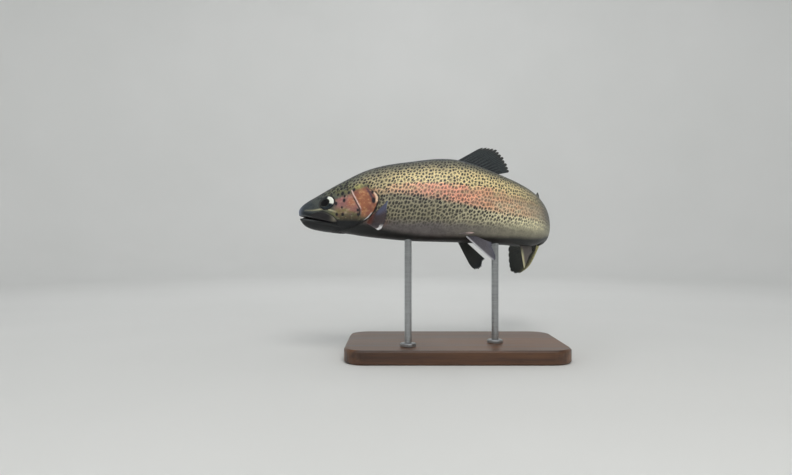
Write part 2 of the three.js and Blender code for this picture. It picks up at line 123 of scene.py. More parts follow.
# Each scale's root is painted darker and its tip paler, as painted shade where the root lies under
# the scale ahead.
SCALE_TONE, ROOT_SHADE = 0.1, 0.14  # how much scales differ, and how much paler tips are
SCALE_MIDDLE = [0.25, 0]  # the thickest place, in shares of the step and of the row
BAKE_MARGIN = 0.01  # around the OFBake map
BAKE_PATCH = np.array([0.0018, 0.0022])  # size of one scale in it
RAY_COLUMNS = 8  # columns of points for each ray of a fin
FIN_ROWS = 30  # rows of points from the root of a fin to its tip
FIN_SPOT = 0.33  # size of the spots on the fins
FIN_BULGE = 0.16  # how much longer the middle rays of a paired fin are
FIN_CORNER = 0.12  # how much shorter its first ray is
FIN_HOLLOW = 0.05  # how far it cups, as a share of its reach
TAIL_ROOT = 0.97  # height of the tail fin's root, as a share of the body's end
CM = 10  # the pattern of the spots is read in centimetres, the right side and the fins
RIGHT_PATTERN, FIN_PATTERN, NEXT_FIN = 70, 150, 20  # at places of their own
WELD = 1e-4  # points closer than this are one
# The flaps of skin over the roots of the pelvic fins: stations, and angles at both ends.
PROCESS = {"from": 176, "to": 193, "angles": (149, 144)}
EYE_RINGS, EYE_TURNS = 60, 72

# ---- body coordinates -----------------------------------------------------------------


def lerp(a, b, t):
    return a + (b - a) * t


def smooth(low, high, x):
    """0 up to low, 1 from high on."""
    t = np.clip((x - low) / (high - low), 0, 1)
    return t * t * (3 - 2 * t)


def fade(low, high, x):
    """1 up to low, 0 from high on."""
    return 1 - smooth(low, high, x)


def window(low, high, last, end, x):
    """0 up to low, 1 from high to last, and 0 again from end on."""
    return smooth(low, high, x) * fade(last, end, x)


def hump(x, width):
    return np.exp(-((x / width) ** 2))


def curve(x, xs, ys):
    """Smooth curve through the values ys at the places xs, as in the solids."""
    xs, ys = np.asarray(xs, float), np.asarray(ys, float)
    x = np.clip(np.asarray(x, float), xs[0], xs[-1])
    width = np.diff(xs)
    slope = np.diff(ys) / width
    tangent = np.concatenate(([slope[0]], np.zeros(len(xs) - 2), [slope[-1]]))
    both = width[:-1] + width[1:]
    tangent[1:-1] = (slope[:-1] * width[1:] + slope[1:] * width[:-1]) / both
    i = np.clip(np.searchsorted(xs, x) - 1, 0, len(xs) - 2)
    t = (x - xs[i]) / width[i]
    return (
        (2 * t**3 - 3 * t**2 + 1) * ys[i]
        + (t**3 - 2 * t**2 + t) * width[i] * tangent[i]
        + (3 * t**2 - 2 * t**3) * ys[i + 1]
        + (t**3 - t**2) * width[i] * tangent[i + 1]
    )


def section(s):
    """Height above the spine, depth below it and half width."""
    root = np.sqrt(np.maximum(s, 0))
    return [curve(root, np.sqrt(SECTIONS[:, 0]), SECTIONS[:, k]) for k in (1, 2, 3)]


def heading(s):
    return np.radians(curve(s, HEADING_AT, HEADING))


STEPS = np.arange(HEADING_AT[-1])
SPINE_X = np.concatenate(([0], np.cumsum(np.cos(heading(STEPS + 0.5)))))
SPINE_Y = np.concatenate(([0], np.cumsum(np.sin(heading(STEPS + 0.5)))))


def attitude():
    b, n = math.radians(BANK), math.radians(NOSE_UP)
    bank = np.array([[1, 0, 0], [0, math.cos(b), -math.sin(b)], [0, math.sin(b), math.cos(b)]])
    nose = np.array([[math.cos(n), 0, math.sin(n)], [0, 1, 0], [-math.sin(n), 0, math.cos(n)]])
    return nose @ bank


ATTITUDE = attitude()


def place(s, left, up):
    """Points in millimetres from the snout."""
    s, left, up = np.broadcast_arrays(*[np.asarray(k, float) for k in (s, left, up)])
    inside = np.clip(s, 0, HEADING_AT[-1])
    turn = heading(s)
    x = np.interp(inside, np.arange(len(SPINE_X)), SPINE_X) + (s - inside) * np.cos(turn)
    y = np.interp(inside, np.arange(len(SPINE_Y)), SPINE_Y) + (s - inside) * np.sin(turn)
    points = np.stack([x + left * np.sin(turn), y - left * np.cos(turn), up], axis=-1)
    return points @ ATTITUDE.T


def around(s, phi, lift=0):
    """Left and up coordinates of the surface at phi, moved outwards by lift."""
    above, below, half = section(s)
    cosine, sine = np.cos(np.radians(phi)), np.sin(np.radians(phi))
    tall = np.where(cosine >= 0, above, below)
    fullness = np.where(cosine >= 0, UPPER_FULLNESS, LOWER_FULLNESS)
    left = half * np.sign(sine) * np.abs(sine) ** fullness
    up = tall * cosine
    size = np.maximum(half * half, 1e-9), np.maximum(tall * tall, 1e-9)
    outward = np.stack([left / size[0], up / size[1]])
    outward = outward / np.maximum(np.linalg.norm(outward, axis=0), 1e-9)
    return left + outward[0] * lift, up + outward[1] * lift


def skin_point(s, phi, lift=0):
    left, up = around(s, phi, lift)
    return place(s, left, up)


def gill_station(phi):
    return curve(phi, GILL_ANGLE, GILL_STATION)


def ridge_station(phi):
    return curve(phi, RIDGE_ANGLE, RIDGE_STATION)


def lip_height(lip, s):
    return lip["height"] - lip["fall"] * s


def lip_distances(s, up):
    """Millimetres over the upper lip and under the lower lip."""
    return up - lip_height(UPPER_LIP, s), lip_height(LOWER_LIP, s) - up


def angle_at_height(s, up):
    above, below, _ = section(s)
    tall = np.maximum(np.where(up >= 0, above, below), 1e-6)
    return np.degrees(np.arccos(np.clip(up / tall, -1, 1)))


# Length round the section from the back, for each station and whole degree of phi.
TABLE_STEP = 2
TABLE_S = np.arange(0, BODY_LENGTH + TABLE_STEP, TABLE_STEP)
TABLE_PHI = np.arange(181)


def girth_table():
    left, up = around(TABLE_S[:, None], TABLE_PHI[None, :])
    pieces = np.hypot(np.diff(left, axis=1), np.diff(up, axis=1))
    return np.concatenate([np.zeros((len(TABLE_S), 1)), np.cumsum(pieces, axis=1)], axis=1)


GIRTH = girth_table()


def from_table(table, s, column):
    """Value between the stations of a table and between its columns."""
    s = np.clip(s, 0, TABLE_S[-1] - 1e-3) / TABLE_STEP
    i, j = s.astype(int), column.astype(int)
    near = lerp(table[i, j], table[i, j + 1], column - j)
    far = lerp(table[i + 1, j], table[i + 1, j + 1], column - j)
    return lerp(near, far, s - i)


def girth(s, phi):
    """Length round the section from the middle of the flank, upwards negative."""
    return from_table(GIRTH - GIRTH[:, 90:91], s, np.clip(phi, 0, 179.999))


def share_table():
    """phi at 200 equal shares of the girth, for each station."""
    shares = np.linspace(0, 1, 201)
    table = [np.interp(shares, row / row[-1], TABLE_PHI) for row in GIRTH[1:]]
    return np.array(table[:1] + table)


SHARE = share_table()


def angle_at_share(s, share):
    """phi, from 0 to 180, at a share of the way from the back to the belly."""
    return from_table(SHARE, s, np.clip(share, 0, 0.99999) * (SHARE.shape[1] - 1))


def share_at_angle(s, phi):
    whole = girth(s, 180) - girth(s, 0)
    return (girth(s, phi) - girth(s, 0)) / np.maximum(whole, 1e-6)


# ---- relief ---------------------------------------------------------------------------
# Forms and paint take phi from 0 to 180 on either side, so the two sides are mirrored.


def eye_distance(s, phi):
    """1 on the outline of the eye, in its own ellipse, and the part of it along the body."""
    along = (s - EYE["station"]) / EYE["along"]
    tall = (girth(s, phi) - girth(s, EYE["angle"])) / EYE["tall"]
    return np.hypot(along, tall), along


def maxilla_depth(s, up):
    """Millimetres inside the outline of the maxilla, negative outside it."""
    u = (s - MAXILLA["start"]) / (MAXILLA["end"] - MAXILLA["start"])
    lip = lip_height(UPPER_LIP, s)
    top = lip + curve(u, MAXILLA["share"], MAXILLA["height"]) - up
    ends = np.minimum(s - MAXILLA["start"], MAXILLA["end"] - s)
    return np.minimum(np.minimum(top, ends), up - lip + 0.8)


def gill_relief(phi, behind):
    """The swell of the gill cover, the slit behind it and the folds under the throat."""
    cover = smooth(-16, -2, behind) * window(60, 70, 120, 132, phi) * (behind < 0.4)
    swell = cover * (0.15 + 0.25 * smooth(-2.5, -0.4, behind))
    depth = lerp(1.5, 0.9, smooth(126, 136, phi))
    slit = smooth(52, 60, phi) * depth * window(-0.1, 0.6, 0.8, 5, behind)
    folds = smooth(120, 128, phi) * smooth(-13, -8, behind) * (behind < 0)
    return swell - slit + folds * 0.3 * np.cos(behind * 2 * np.pi / 3.1)


def ridge_relief(s, phi):
    """The ridge down the cheek with the groove ahead of it, and the seam under the cover."""
    ridge = s - ridge_station(phi)
    form = 0.35 * hump(ridge - 0.6, 0.9) - 0.6 * hump(ridge + 1.0, 0.7)
    seam = window(75, 77, 88, 91, s) * hump(phi - (109 + 0.9 * (s - 76)), 1.3)
    return window(60, 68, 118, 128, phi) * form - 0.3 * seam


def eye_relief(s, phi):
    """The socket of the eye, its rim and the joint of the bones behind it."""
    distance, along = eye_distance(s, phi)
    rim = 0.45 * hump(distance - 1.06, 0.09)
    joint = smooth(0.1, 0.6, along) * (phi > 70) * (phi < 118) * hump(distance - 1.75, 0.06)
    return rim - 5 * fade(0.8, 0.95, distance) - 0.22 * joint


def mouth_relief(s, phi):
    """The maxilla, the lips and the folds of the lower jaw."""
    _, up = around(s, phi)
    edge = maxilla_depth(s, up)
    above_lip, below_lip = lip_distances(s, up)
    maxilla = 0.55 * smooth(-0.1, 0.9, edge) - 0.6 * hump(edge + 0.5, 0.5)
    upper = 0.35 * hump(above_lip - 1.1, 0.9) * (above_lip > -0.2)
    lower = 0.45 * hump(below_lip - 1.3, 1.0) * (below_lip > -0.2)
    lips = upper + lower - 0.3 * hump(below_lip - 3.6, 0.7)
    jaw = window(50, 56, 70, 74, s) * smooth(116, 120, phi) * hump(phi - 136, 3)
    on_side = (up < 0) * (phi < 150)
    return on_side * maxilla + (s < MOUTH_END + 3) * (phi > 90) * lips - 0.3 * jaw


def nostril_relief(s, phi):
    lift = 0
    for nostril_s, nostril_phi in NOSTRILS:
        across = np.hypot(s - nostril_s, (phi - nostril_phi) * 0.35)
        lift = lift + 0.2 * hump(across - 1.3, 0.4) - 1.3 * fade(0.5, 1.1, across)
    return lift


def relief(s, phi):
    """Lift of the skin: its depth, the forms of the head and the lateral line."""
    behind = s - gill_station(phi)
    wide = fade(40, 62, phi)
    depth = lerp(HEAD_DEPTH, SKIN_DEPTH, smooth(-2 - 14 * wide, 3 + 4 * wide, behind))
    line = 0.12 * smooth(4, 12, behind) * hump(phi - 86, 1.1)
    forms = gill_relief(phi, behind) + ridge_relief(s, phi) + eye_relief(s, phi)
    return forms + mouth_relief(s, phi) + nostril_relief(s, phi) - line - depth


# ---- colours and markings -------------------------------------------------------------


def colour(red, green, blue):
    """Linear colour from a display colour of 0 to 255."""
    c = np.array([red, green, blue]) / 255
    return np.where(c <= 0.04045, c / 12.92, ((c + 0.055) / 1.055) ** 2.4)


GREY_BACK = colour(84, 90, 94)
OLIVE_BACK = colour(112, 110, 94)
BRIGHT_YELLOW = colour(206, 190, 144)
BAND = colour(224, 156, 132)
PEACH = colour(214, 170, 136)
LOWER = colour(132, 127, 106)
LOWER_REAR = colour(222, 215, 180)
REAR_GREY = colour(92, 95, 92)
# The belly: grey, its own pale silver colour darkened by painted shade.
SHADED_BELLY = colour(108, 102, 100)
BELLY_REAR = colour(150, 146, 126)
# Painted shade of the underside, nearly black.
UNDERSIDE_SHADE = colour(23, 25, 25)
GILL_RED = colour(132, 74, 60)
HEAD_TOP = colour(86, 91, 84)
SNOUT = colour(56, 64, 72)
CHEEK = colour(176, 116, 118)
CHEEK_ORANGE = colour(186, 122, 90)
OPERCLE = colour(164, 102, 72)
OPERCLE_PALE = colour(208, 158, 110)
OPERCLE_PLUM = colour(136, 80, 78)
BROWN_OLIVE = colour(92, 82, 60)
OLIVE = colour(126, 124, 76)
NAPE_GREEN = colour(176, 174, 104)
PALE_PINK = colour(255, 222, 214)
CREAM = colour(246, 240, 196)
PEACH_RIM = colour(250, 214, 182)
BRIGHT = colour(244, 244, 246)
JAW_SHADE = colour(10, 15, 20)
THROAT_SHADE = colour(15, 18, 21)
LIP_TEAL = colour(20, 28, 31)
LIP_HIGHLIGHT = colour(122, 124, 126)
SNOUT_TIP_HIGHLIGHT = colour(150, 162, 184)
MAXILLA_BROWN = colour(34, 32, 34)
MAXILLA_END = colour(124, 118, 104)
# Painted shade in creases: the groove over the maxilla, the groove ahead of the cheek ridge, the
# slit under the gill cover and the eye socket.
CREASE_SHADE = colour(22, 20, 24)
MOUTH_INSIDE = colour(26, 21, 22)
INK = colour(24, 21, 32)
BAR_PURPLE = colour(54, 44, 66)
FIN_DARK = colour(30, 35, 38)
# Painted light: the blue of the pectoral's upper rays where light falls on them.
LIT_RAY_BLUE = colour(104, 122, 160)

DRIFT_CELLS = 64
DRIFT = np.random.default_rng(5).uniform(-1, 1, (DRIFT_CELLS, DRIFT_CELLS))


def drift(s, phi, along, round_it, layer=0):
    """Smooth irregular values of -1 to 1 over the body, in patches of the given size."""
    x = s / along + 7.3 * layer
    y = (girth(s, phi) + 100) / round_it + 3.1 * layer
    i, j = np.floor(x).astype(int), np.floor(y).astype(int)
    a, b = smooth(0, 1, x - i), smooth(0, 1, y - j)

    def at(m, n):
        return DRIFT[m % DRIFT_CELLS, n % DRIFT_CELLS]

    return lerp(lerp(at(i, j), at(i + 1, j), a), lerp(at(i, j + 1), at(i + 1, j + 1), a), b)


def blend(base, tint, weight):
    return base + (tint - base) * np.clip(weight, 0, 1)[..., None]


def painted(base, *coats):
    """A colour under coats of other colours, each given with its strength."""
    for tint, strength in coats:
        base = blend(base, tint, strength)
    return base


# Edges and strength of the pink band, and where the painted shade of the underside begins.
BAND_AT = [80, 97, 136, 166, 219, 300, 397]
BAND_TOP = [70, 70, 68.5, 71, 70, 72, 74]
BAND_LOW = [74, 75, 81, 88, 103, 101, 96]
STRENGTH_AT = [80, 110, 140, 230, 290, 340, 397]
BAND_STRENGTH = [0.4, 0.7, 1, 0.9, 0.5, 0.3, 0.2]
UNDERSIDE_SHADE_AT = [78, 96, 130, 210, 280, 397]
UNDERSIDE_SHADE_ANGLE = [128, 138, 150, 148, 138, 136]


def band_edges(s):
    return curve(s, BAND_AT, BAND_TOP), curve(s, BAND_AT, BAND_LOW)


def flank_paint(s, phi):
    """Colours of the trunk from the back down to the belly, with painted shade: a greyer belly, a
    nearly black underside and a darker tail stalk.
    """
    mottle = drift(s, phi, 9, 5) + 0.6 * drift(s, phi, 4, 2.5, 1)
    phi = phi + 2.2 * mottle
    rear = smooth(140, 270, s)
    top, low = band_edges(s)
    band = smooth(top - 4, top + 4, phi) * fade(low - 4, low + 7, phi)
    band = band * (0.78 + 0.42 * mottle) * curve(s, STRENGTH_AT, BAND_STRENGTH)
    dull = smooth(225, 330, s) * lerp(1, 0.75, smooth(60, 78, phi)) * fade(92, 112, phi)
    dark = curve(s, UNDERSIDE_SHADE_AT, UNDERSIDE_SHADE_ANGLE)
    return painted(
        GREY_BACK,
        (OLIVE_BACK, smooth(16, 34, phi)),
        (BRIGHT_YELLOW, smooth(34, 56, phi) * lerp(0.45, 1, smooth(88, 128, s))),
        (LOWER, smooth(top - 1, 84, phi)),
        (blend(LOWER, LOWER_REAR, rear), smooth(72, 90, phi)),
        (blend(BAND, PEACH, smooth(170, 230, s) + 0.3 * mottle), band),
        (REAR_GREY, dull),
        (blend(SHADED_BELLY, BELLY_REAR, rear), smooth(116, 134, phi)),
        (GILL_RED, hump(s - 90, 9) * hump(phi - 128, 6)),
        # painted shade on the tail stalk, where the body turns away from the light
        (REAR_GREY, 0.7 * smooth(276, 326, s) * fade(118, 134, phi)),
        # painted shade: the underside turns nearly black below this angle
        (UNDERSIDE_SHADE, smooth(dark - 6, dark + 12, phi - 1.5 * mottle)),
    )


# The pale line under the eye: its height over the middle line and its strength.
STREAK_AT = [12, 20, 28, 33, 38, 44, 50]
STREAK_UP = [-0.8, -2.0, -2.2, -2.3, -3.2, -5.3, -7.8]
STREAK_STRENGTH = [0.15, 0.3, 0.6, 1, 0.9, 0.55, 0]

# Dark spots of the cheek and the gill cover: station, angle and radius.
HEAD_SPOTS = [
    (30.5, 58, 0.9), (43, 62, 1.2), (48.5, 86, 1.3), (50.5, 66, 1.2), (55.5, 66, 1.6),
    (58, 73.5, 1.1), (57.5, 82, 1.4), (55, 96, 1.0), (49, 111, 1.3), (55.5, 112, 1.4),
    (62.5, 68, 1.3), (68, 65, 1.4), (61, 60, 1.1), (72, 103.5, 1.2), (72, 112.5, 1.2),
    (88.5, 87.5, 1.8), (87.5, 74.5, 1.5),
]
DEGREE = 0.42  # millimetres for one degree round the head, where it is HEAD_HALF wide
HEAD_HALF = 24


def head_spots(s, phi):
    """Strength of the separate dark spots, the same on both sides."""
    dark = 0 * s
    for at, angle, radius in HEAD_SPOTS:
        across = (phi - angle) * DEGREE * np.maximum(section(s)[2], 1) / HEAD_HALF
        spot = fade(0.75 * radius, 1.45 * radius, np.hypot(s - at, across))
        dark = np.maximum(dark, spot)
    return dark


def lip_coats(s, phi, up):
    """The jaws, the maxilla and the line over it, with the lower jaw and the underside of the head
    in painted shade, painted shade in the groove over the maxilla and painted highlights on the
    lips.
    """
    edge = maxilla_depth(s, up)
    above_lip, below_lip = lip_distances(s, up)
    # painted shade: the lower jaw and the underside of the head nearly black
    dark = np.maximum(smooth(116, 130, phi), fade(44, 60, s) * smooth(0, 1, below_lip))
    upper = fade(3.4, 6.2, above_lip) * window(3, 8, 28, 42, s)
    on_it = smooth(0, 0.8, edge)
    return [
        (JAW_SHADE, dark),
        (LIP_TEAL, 0.92 * upper * (below_lip < 0)),
        (MAXILLA_BROWN, on_it),
        (MAXILLA_END, on_it * hump(s - 45.5, 3.4) * smooth(-19, -15, up)),
        # painted shade in the groove over the maxilla
        (CREASE_SHADE, hump(edge + 0.4, 0.75) * smooth(27, 31, s) * (up < 0)),
        # painted highlights along the front of both lips
        (LIP_HIGHLIGHT, 0.5 * hump(above_lip - 0.5, 0.6) * fade(12, 24, s)),
        (LIP_HIGHLIGHT, 0.5 * hump(below_lip - 1.0, 0.7) * fade(14, 34, s) * smooth(2, 6, s)),
    ]


def cheek_coats(s, phi, mottle):
    """Pink and orange cheek with olive below it."""
    fleck = drift(s, phi, 1.7, 1.5, 6)
    cheek = smooth(43, 53, s) * smooth(69, 78, phi + 3 * mottle)
    cheek = cheek * fade(102, 114, phi + 4 * mottle)
    whole = smooth(44, 50, s) * window(66, 74, 120, 128, phi)
    return [
        (CHEEK, cheek * (0.8 + 0.25 * mottle)),
        (CHEEK_ORANGE, hump(s - 66, 6) * hump(phi - 88, 13) * (0.85 + 0.3 * mottle)),
        (OLIVE, hump(s - 58, 5) * hump(phi - 104, 7) * (0.8 + 0.4 * mottle)),
        (OLIVE, hump(s - 51, 4) * hump(phi - 104, 7) * (0.8 - 0.3 * mottle)),
        (BROWN_OLIVE, 0.9 * window(44, 54, 84, 92, s) * smooth(108, 118, phi)),
        (CREAM, 0.2 * whole * smooth(0.2, 0.9, fleck)),
        (OPERCLE_PLUM, 0.35 * whole * smooth(0.2, 0.9, -fleck)),
    ]


def cover_coats(s, phi, mottle, behind):
    """The gill cover with its ridge and rims, a painted highlight along the ridge and painted
    shade in the groove ahead of it.
    """
    ridge = s - ridge_station(phi)
    speck = drift(s, phi, 2.2, 1.8, 4)
    cover = smooth(0.4, 2, ridge) * window(62, 70, 108, 121, phi)
    plum = hump(ridge - 3.5, 3.5) * hump(phi - 70, 6) + 0.6 * hump(behind + 4, 4)
    bar = hump(s - lerp(82.5, 88.5, (phi - 70) / 17), 1.4) * window(66, 70, 84, 90, phi)
    low_rim = window(107, 112, 121, 126, phi) * smooth(-1.6, -1.0, behind)
    return [
        (OPERCLE, cover),
        (OPERCLE_PALE, 0.75 * cover * smooth(-0.2, 0.8, speck + 0.4 * mottle)),
        (OPERCLE_PLUM, 0.8 * cover * plum),
        (NAPE_GREEN, hump(s - 73, 5) * hump(phi - 61, 4.5)),
        # painted highlight along the raised edge of the ridge
        (PALE_PINK, 1.1 * window(63, 67, 95, 104, phi) * hump(ridge - 0.8, 0.55)),
        # painted shade in the groove ahead of the ridge
        (CREASE_SHADE, 0.95 * window(74, 82, 112, 120, phi) * hump(ridge + 0.7, 0.85)),
        (BAR_PURPLE, 0.85 * bar),
        (PEACH_RIM, window(71, 75, 86, 94, phi) * smooth(-2.9, -1.7, behind)),
        (BRIGHT, low_rim * (0.85 + 0.2 * mottle)),
    ]


def head_paint(s, phi):
    """Colours of the head: bones, lines and rims, with painted shade in its creases and
    underneath, and painted highlights on the snout and the lips.
    """
    mottle = drift(s, phi, 4.5, 3.5) + 0.6 * drift(s, phi, 2, 1.6, 2)
    _, up = around(s, phi)
    distance, _ = eye_distance(s, phi)
    behind = s - gill_station(phi)
    streak = curve(s, STREAK_AT, STREAK_STRENGTH) * (s > 10) * (s < 50)
    # painted shade in the eye's socket and in a ring round it
    socket = np.maximum(fade(0.94, 1.02, distance), 0.75 * hump(distance - 1.03, 0.06))
    return painted(
        HEAD_TOP,
        (SNOUT, fade(10, 38, s + 5 * mottle)),
        (OLIVE, (0.35 + 0.35 * mottle) * smooth(30, 46, s) * smooth(28, 44, phi)),
        *cheek_coats(s, phi, mottle),
        *cover_coats(s, phi, mottle, behind),
        *lip_coats(s, phi, up),
        # painted shade under the throat
        (THROAT_SHADE, smooth(124, 134, phi)),
        (CREAM, streak * hump(up - curve(s, STREAK_AT, STREAK_UP), 0.8)),
        # painted highlight on the tip of the snout
        (SNOUT_TIP_HIGHLIGHT, 0.85 * hump(s, 5) * window(20, 60, 112, 122, phi)),
        (INK, head_spots(s, phi)),
        # painted shade in the slit under the edge of the gill cover
        (CREASE_SHADE, smooth(-0.1, 0.5, behind) * smooth(60, 68, phi)),
        (CREASE_SHADE, socket),
    )


def body_paint(s, phi):
    """Colours of the whole body, from those of the head and of the trunk."""
    behind = s - gill_station(phi)
    crown = fade(52, 66, phi) * smooth(-30, 4, behind)
    trunk = np.maximum(smooth(0.5, 2.5, behind), crown)
    return blend(head_paint(s, phi), flank_paint(s, phi), trunk)


def body_marks(s, phi):
    """Strength of the spots, their size and the strength of the pale net between them."""
    behind = s - gill_station(phi)
    trunk = np.maximum(smooth(-1, 1, behind), fade(56, 66, phi) * smooth(-30, 0, behind))
    top, low = band_edges(s)
    in_band = smooth(top - 2, top + 5, phi) * fade(low - 8, low + 4, phi) * smooth(96, 132, s)
    rear = smooth(200, 300, s)
    marked = trunk * fade(lerp(112, 98, rear), lerp(142, 134, rear), phi)
    spots = marked * (1 - 0.5 * in_band) * lerp(0.5, 0.95, smooth(14, 34, phi))
    spots = spots * (1 - 0.25 * smooth(low + 4, low + 24, phi)) * lerp(1, 0.66, rear)
    size = trunk * lerp(0.34, 0.42, smooth(66, 92, phi) * (1 - 0.6 * rear))
    net = marked * lerp(0.35, 1, smooth(18, 40, phi)) * (1 - 0.4 * in_band)
    net = net * lerp(1, 0.7, rear)
    distance, _ = eye_distance(s, phi)
    head = (1 - trunk) * smooth(20, 34, s) * fade(56, 62, phi) * smooth(1.15, 1.3, distance)
    return np.stack([spots + head, size + (1 - trunk) * 0.45, net + head], axis=-1)


# ---- meshes ---------------------------------------------------------------------------


def snout_place():
    """Millimetres from the world's origin to the snout."""
    low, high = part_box("stand_plinth")
    middle = np.array([low.x + high.x, low.y + high.y]) / 2 / MM
    return np.append(middle - PLINTH_CENTRE, SNOUT_HEIGHT)


SNOUT_AT = snout_place()


def make_mesh(name, points, triangles, slot, material, uv=None, **layers):
    """A smooth mesh object from millimetres, with its layers of values at the points."""
    mesh = bpy.data.meshes.new(name)
    mesh.vertices.add(len(points))
    mesh.vertices.foreach_set("co", ((points + SNOUT_AT) * MM).ravel())
    corners = np.ascontiguousarray(triangles, dtype=np.int32).ravel()
    mesh.loops.add(len(corners))
    mesh.loops.foreach_set("vertex_index", corners)
    mesh.polygons.add(len(triangles))
    mesh.polygons.foreach_set("loop_start", np.arange(0, len(corners), 3, dtype=np.int32))
    mesh.polygons.foreach_set("use_smooth", np.ones(len(triangles), bool))
    for layer, values in layers.items():
        attribute = mesh.attributes.new(layer, "FLOAT_VECTOR", "POINT")
        attribute.data.foreach_set("vector", np.ascontiguousarray(values, np.float32).ravel())
    if uv is not None:
        unwrap = mesh.uv_layers.new(name="OFBake")
        unwrap.data.foreach_set("uv", uv[corners].astype(np.float32).ravel())
    mesh.update(calc_edges=True)
    mesh.validate()
    mesh.materials.append(material)
    piece = bpy.data.objects.new(name, mesh)
    bpy.context.scene.collection.objects.link(piece)
    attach(piece, "root")
    return piece


def grid_triangles(index, flip=False):
    """Triangles over a grid of point numbers."""
    a, b = index[:-1, :-1].ravel(), index[1:, :-1].ravel()
    c, d = index[1:, 1:].ravel(), index[:-1, 1:].ravel()
    faces = np.concatenate([np.stack([a, b, c], 1), np.stack([a, c, d], 1)])
    return faces[:, ::-1] if flip else faces


def facing_out(points, triangles):
    """The triangles of a closed mesh, all turned to face outwards."""
    a, b, c = np.moveaxis(points[triangles] - points[0], 1, 0)
    volume = (a * np.cross(b, c)).sum()
    return triangles if volume > 0 else triangles[:, ::-1]


def shell(front, back):
    """A closed mesh from two grids of points, joined along their rims."""
    index = np.arange(front[..., 0].size).reshape(front.shape[:2])
    behind = index.size
    rim = np.concatenate([index[:, 0], index[-1, 1:], index[-2::-1, -1], index[0, -2:0:-1]])
    after = np.roll(rim, -1)
    faces = [grid_triangles(index), grid_triangles(index + behind, flip=True)]
    faces.append(np.stack([after, rim, rim + behind], 1))
    faces.append(np.stack([after, rim + behind, after + behind], 1))
    points = np.concatenate([front.reshape(-1, 3), back.reshape(-1, 3)])
    return points, facing_out(points, np.concatenate(faces))


def shell_layers(**grids):
    """Layers of values for both faces of a shell."""
    return {key: np.concatenate([grid.reshape(-1, 3)] * 2) for key, grid in grids.items()}


def welded(points, triangles, layers):
    """Points closer than WELD millimetres become one, and triangles without area go."""
    keys = np.round(points / WELD).astype(np.int64)
    _, first, where = np.unique(keys, axis=0, return_index=True, return_inverse=True)
    triangles = where.reshape(-1)[triangles]
    a, b, c = triangles.T
    whole = (a != b) & (b != c) & (a != c)
    return points[first], triangles[whole], {k: v[first] for k, v in layers.items()}


# ---- skin -----------------------------------------------------------------------------


def skin_stations():
    """Stations of the rings, close together on the head and at the gill cover's edge."""
    tip = np.linspace(0, 1, 26) ** 1.6 * 8
    head = np.linspace(8.5, GILL_RING - 1.6, 160)
    edge = np.linspace(GILL_RING - 1.3, GILL_RING + 1.3, 13)
    nape = np.linspace(GILL_RING + 1.7, 100, 20)
    trunk = np.linspace(101.2, BODY_LENGTH, 216)
    return np.concatenate([tip, head, edge, nape, trunk])


def bent_to_gill(ring, phi):
    """Stations of a ring, bent so that one ring runs along the edge of the gill cover."""
    offset = gill_station(np.minimum(phi, GILL_FOOT)) - GILL_RING
    return ring + offset * smooth(62, GILL_RING, ring) * fade(GILL_RING, GILL_FOOT, ring)


def row_shares(s, upper_share, lower_share):
    """Shares of the girth for each row, with two rows on the lips of the mouth."""
    rows = np.arange(SKIN_ROWS + 1)
    lipped = np.interp(rows, [0, *LIP_ROWS, SKIN_ROWS], [0, upper_share, lower_share, 1])
    return lerp(lipped, rows / SKIN_ROWS, smooth(MOUTH_END, MOUTH_END + 22, s))


def skin_ring(ring, inside):
    """One ring: stations, angles, left and up. inside runs from 0 to 1 across the gape."""
    first, second = LIP_ROWS
    jaw = JAW_START + ring * (MOUTH_END - JAW_START) / MOUTH_END
    at = np.minimum([ring, jaw], MOUTH_END)
    heights = np.array([lip_height(UPPER_LIP, at[0]), lip_height(LOWER_LIP, at[1])])
    lips = angle_at_height(at, heights)
    shares = row_shares(ring, *share_at_angle(np.maximum(at, 0.5), lips))
    s = ring + JAW_START * (1 - min(ring / MOUTH_END, 1)) * inside
    phi = angle_at_share(np.maximum(s, 0.5), shares)
    in_mouth = ring < MOUTH_END
    if in_mouth:
        phi[first], phi[second], phi[-1] = *lips, 180
    s = bent_to_gill(s, phi)
    left, up = around(s, phi, relief(s, phi) * smooth(0, 3, s))
    if in_mouth:
        gape = slice(first, second + 1)
        w = inside[gape]
        arch = np.sin(np.pi * w) ** 0.6
        left[gape] = lerp(left[first], left[second], w) * (1 - MOUTH_DEPTH * arch)
        up[gape] = lerp(up[first], up[second], w)
        s[gape] = lerp(s[first], s[second], w) + arch * MOUTH_RECESS * math.exp(-ring / 9)
    return s, phi, left, up


def skin_half(side):
    """Grid of the skin of one side: stations, angles, points and how deep in the mouth."""
    first, second = LIP_ROWS
    inside = np.clip((np.arange(SKIN_ROWS + 1) - first) / (second - first), 0, 1)
    rings = skin_stations()
    s, phi, left, up = (np.array(k) for k in zip(*[skin_ring(ring, inside) for ring in rings]))
    mouth = np.sin(np.pi * inside) ** 0.5 * (rings < MOUTH_END)[:, None]
    return s, phi, left * side, up, mouth


def lie_of(s, phi, side):
    """Where the markings are read: centimetres along the body and round it."""
    along = s / CM + (0 if side > 0 else RIGHT_PATTERN)
    return np.stack([along, girth(s, phi) / CM, 0 * s], axis=-1)


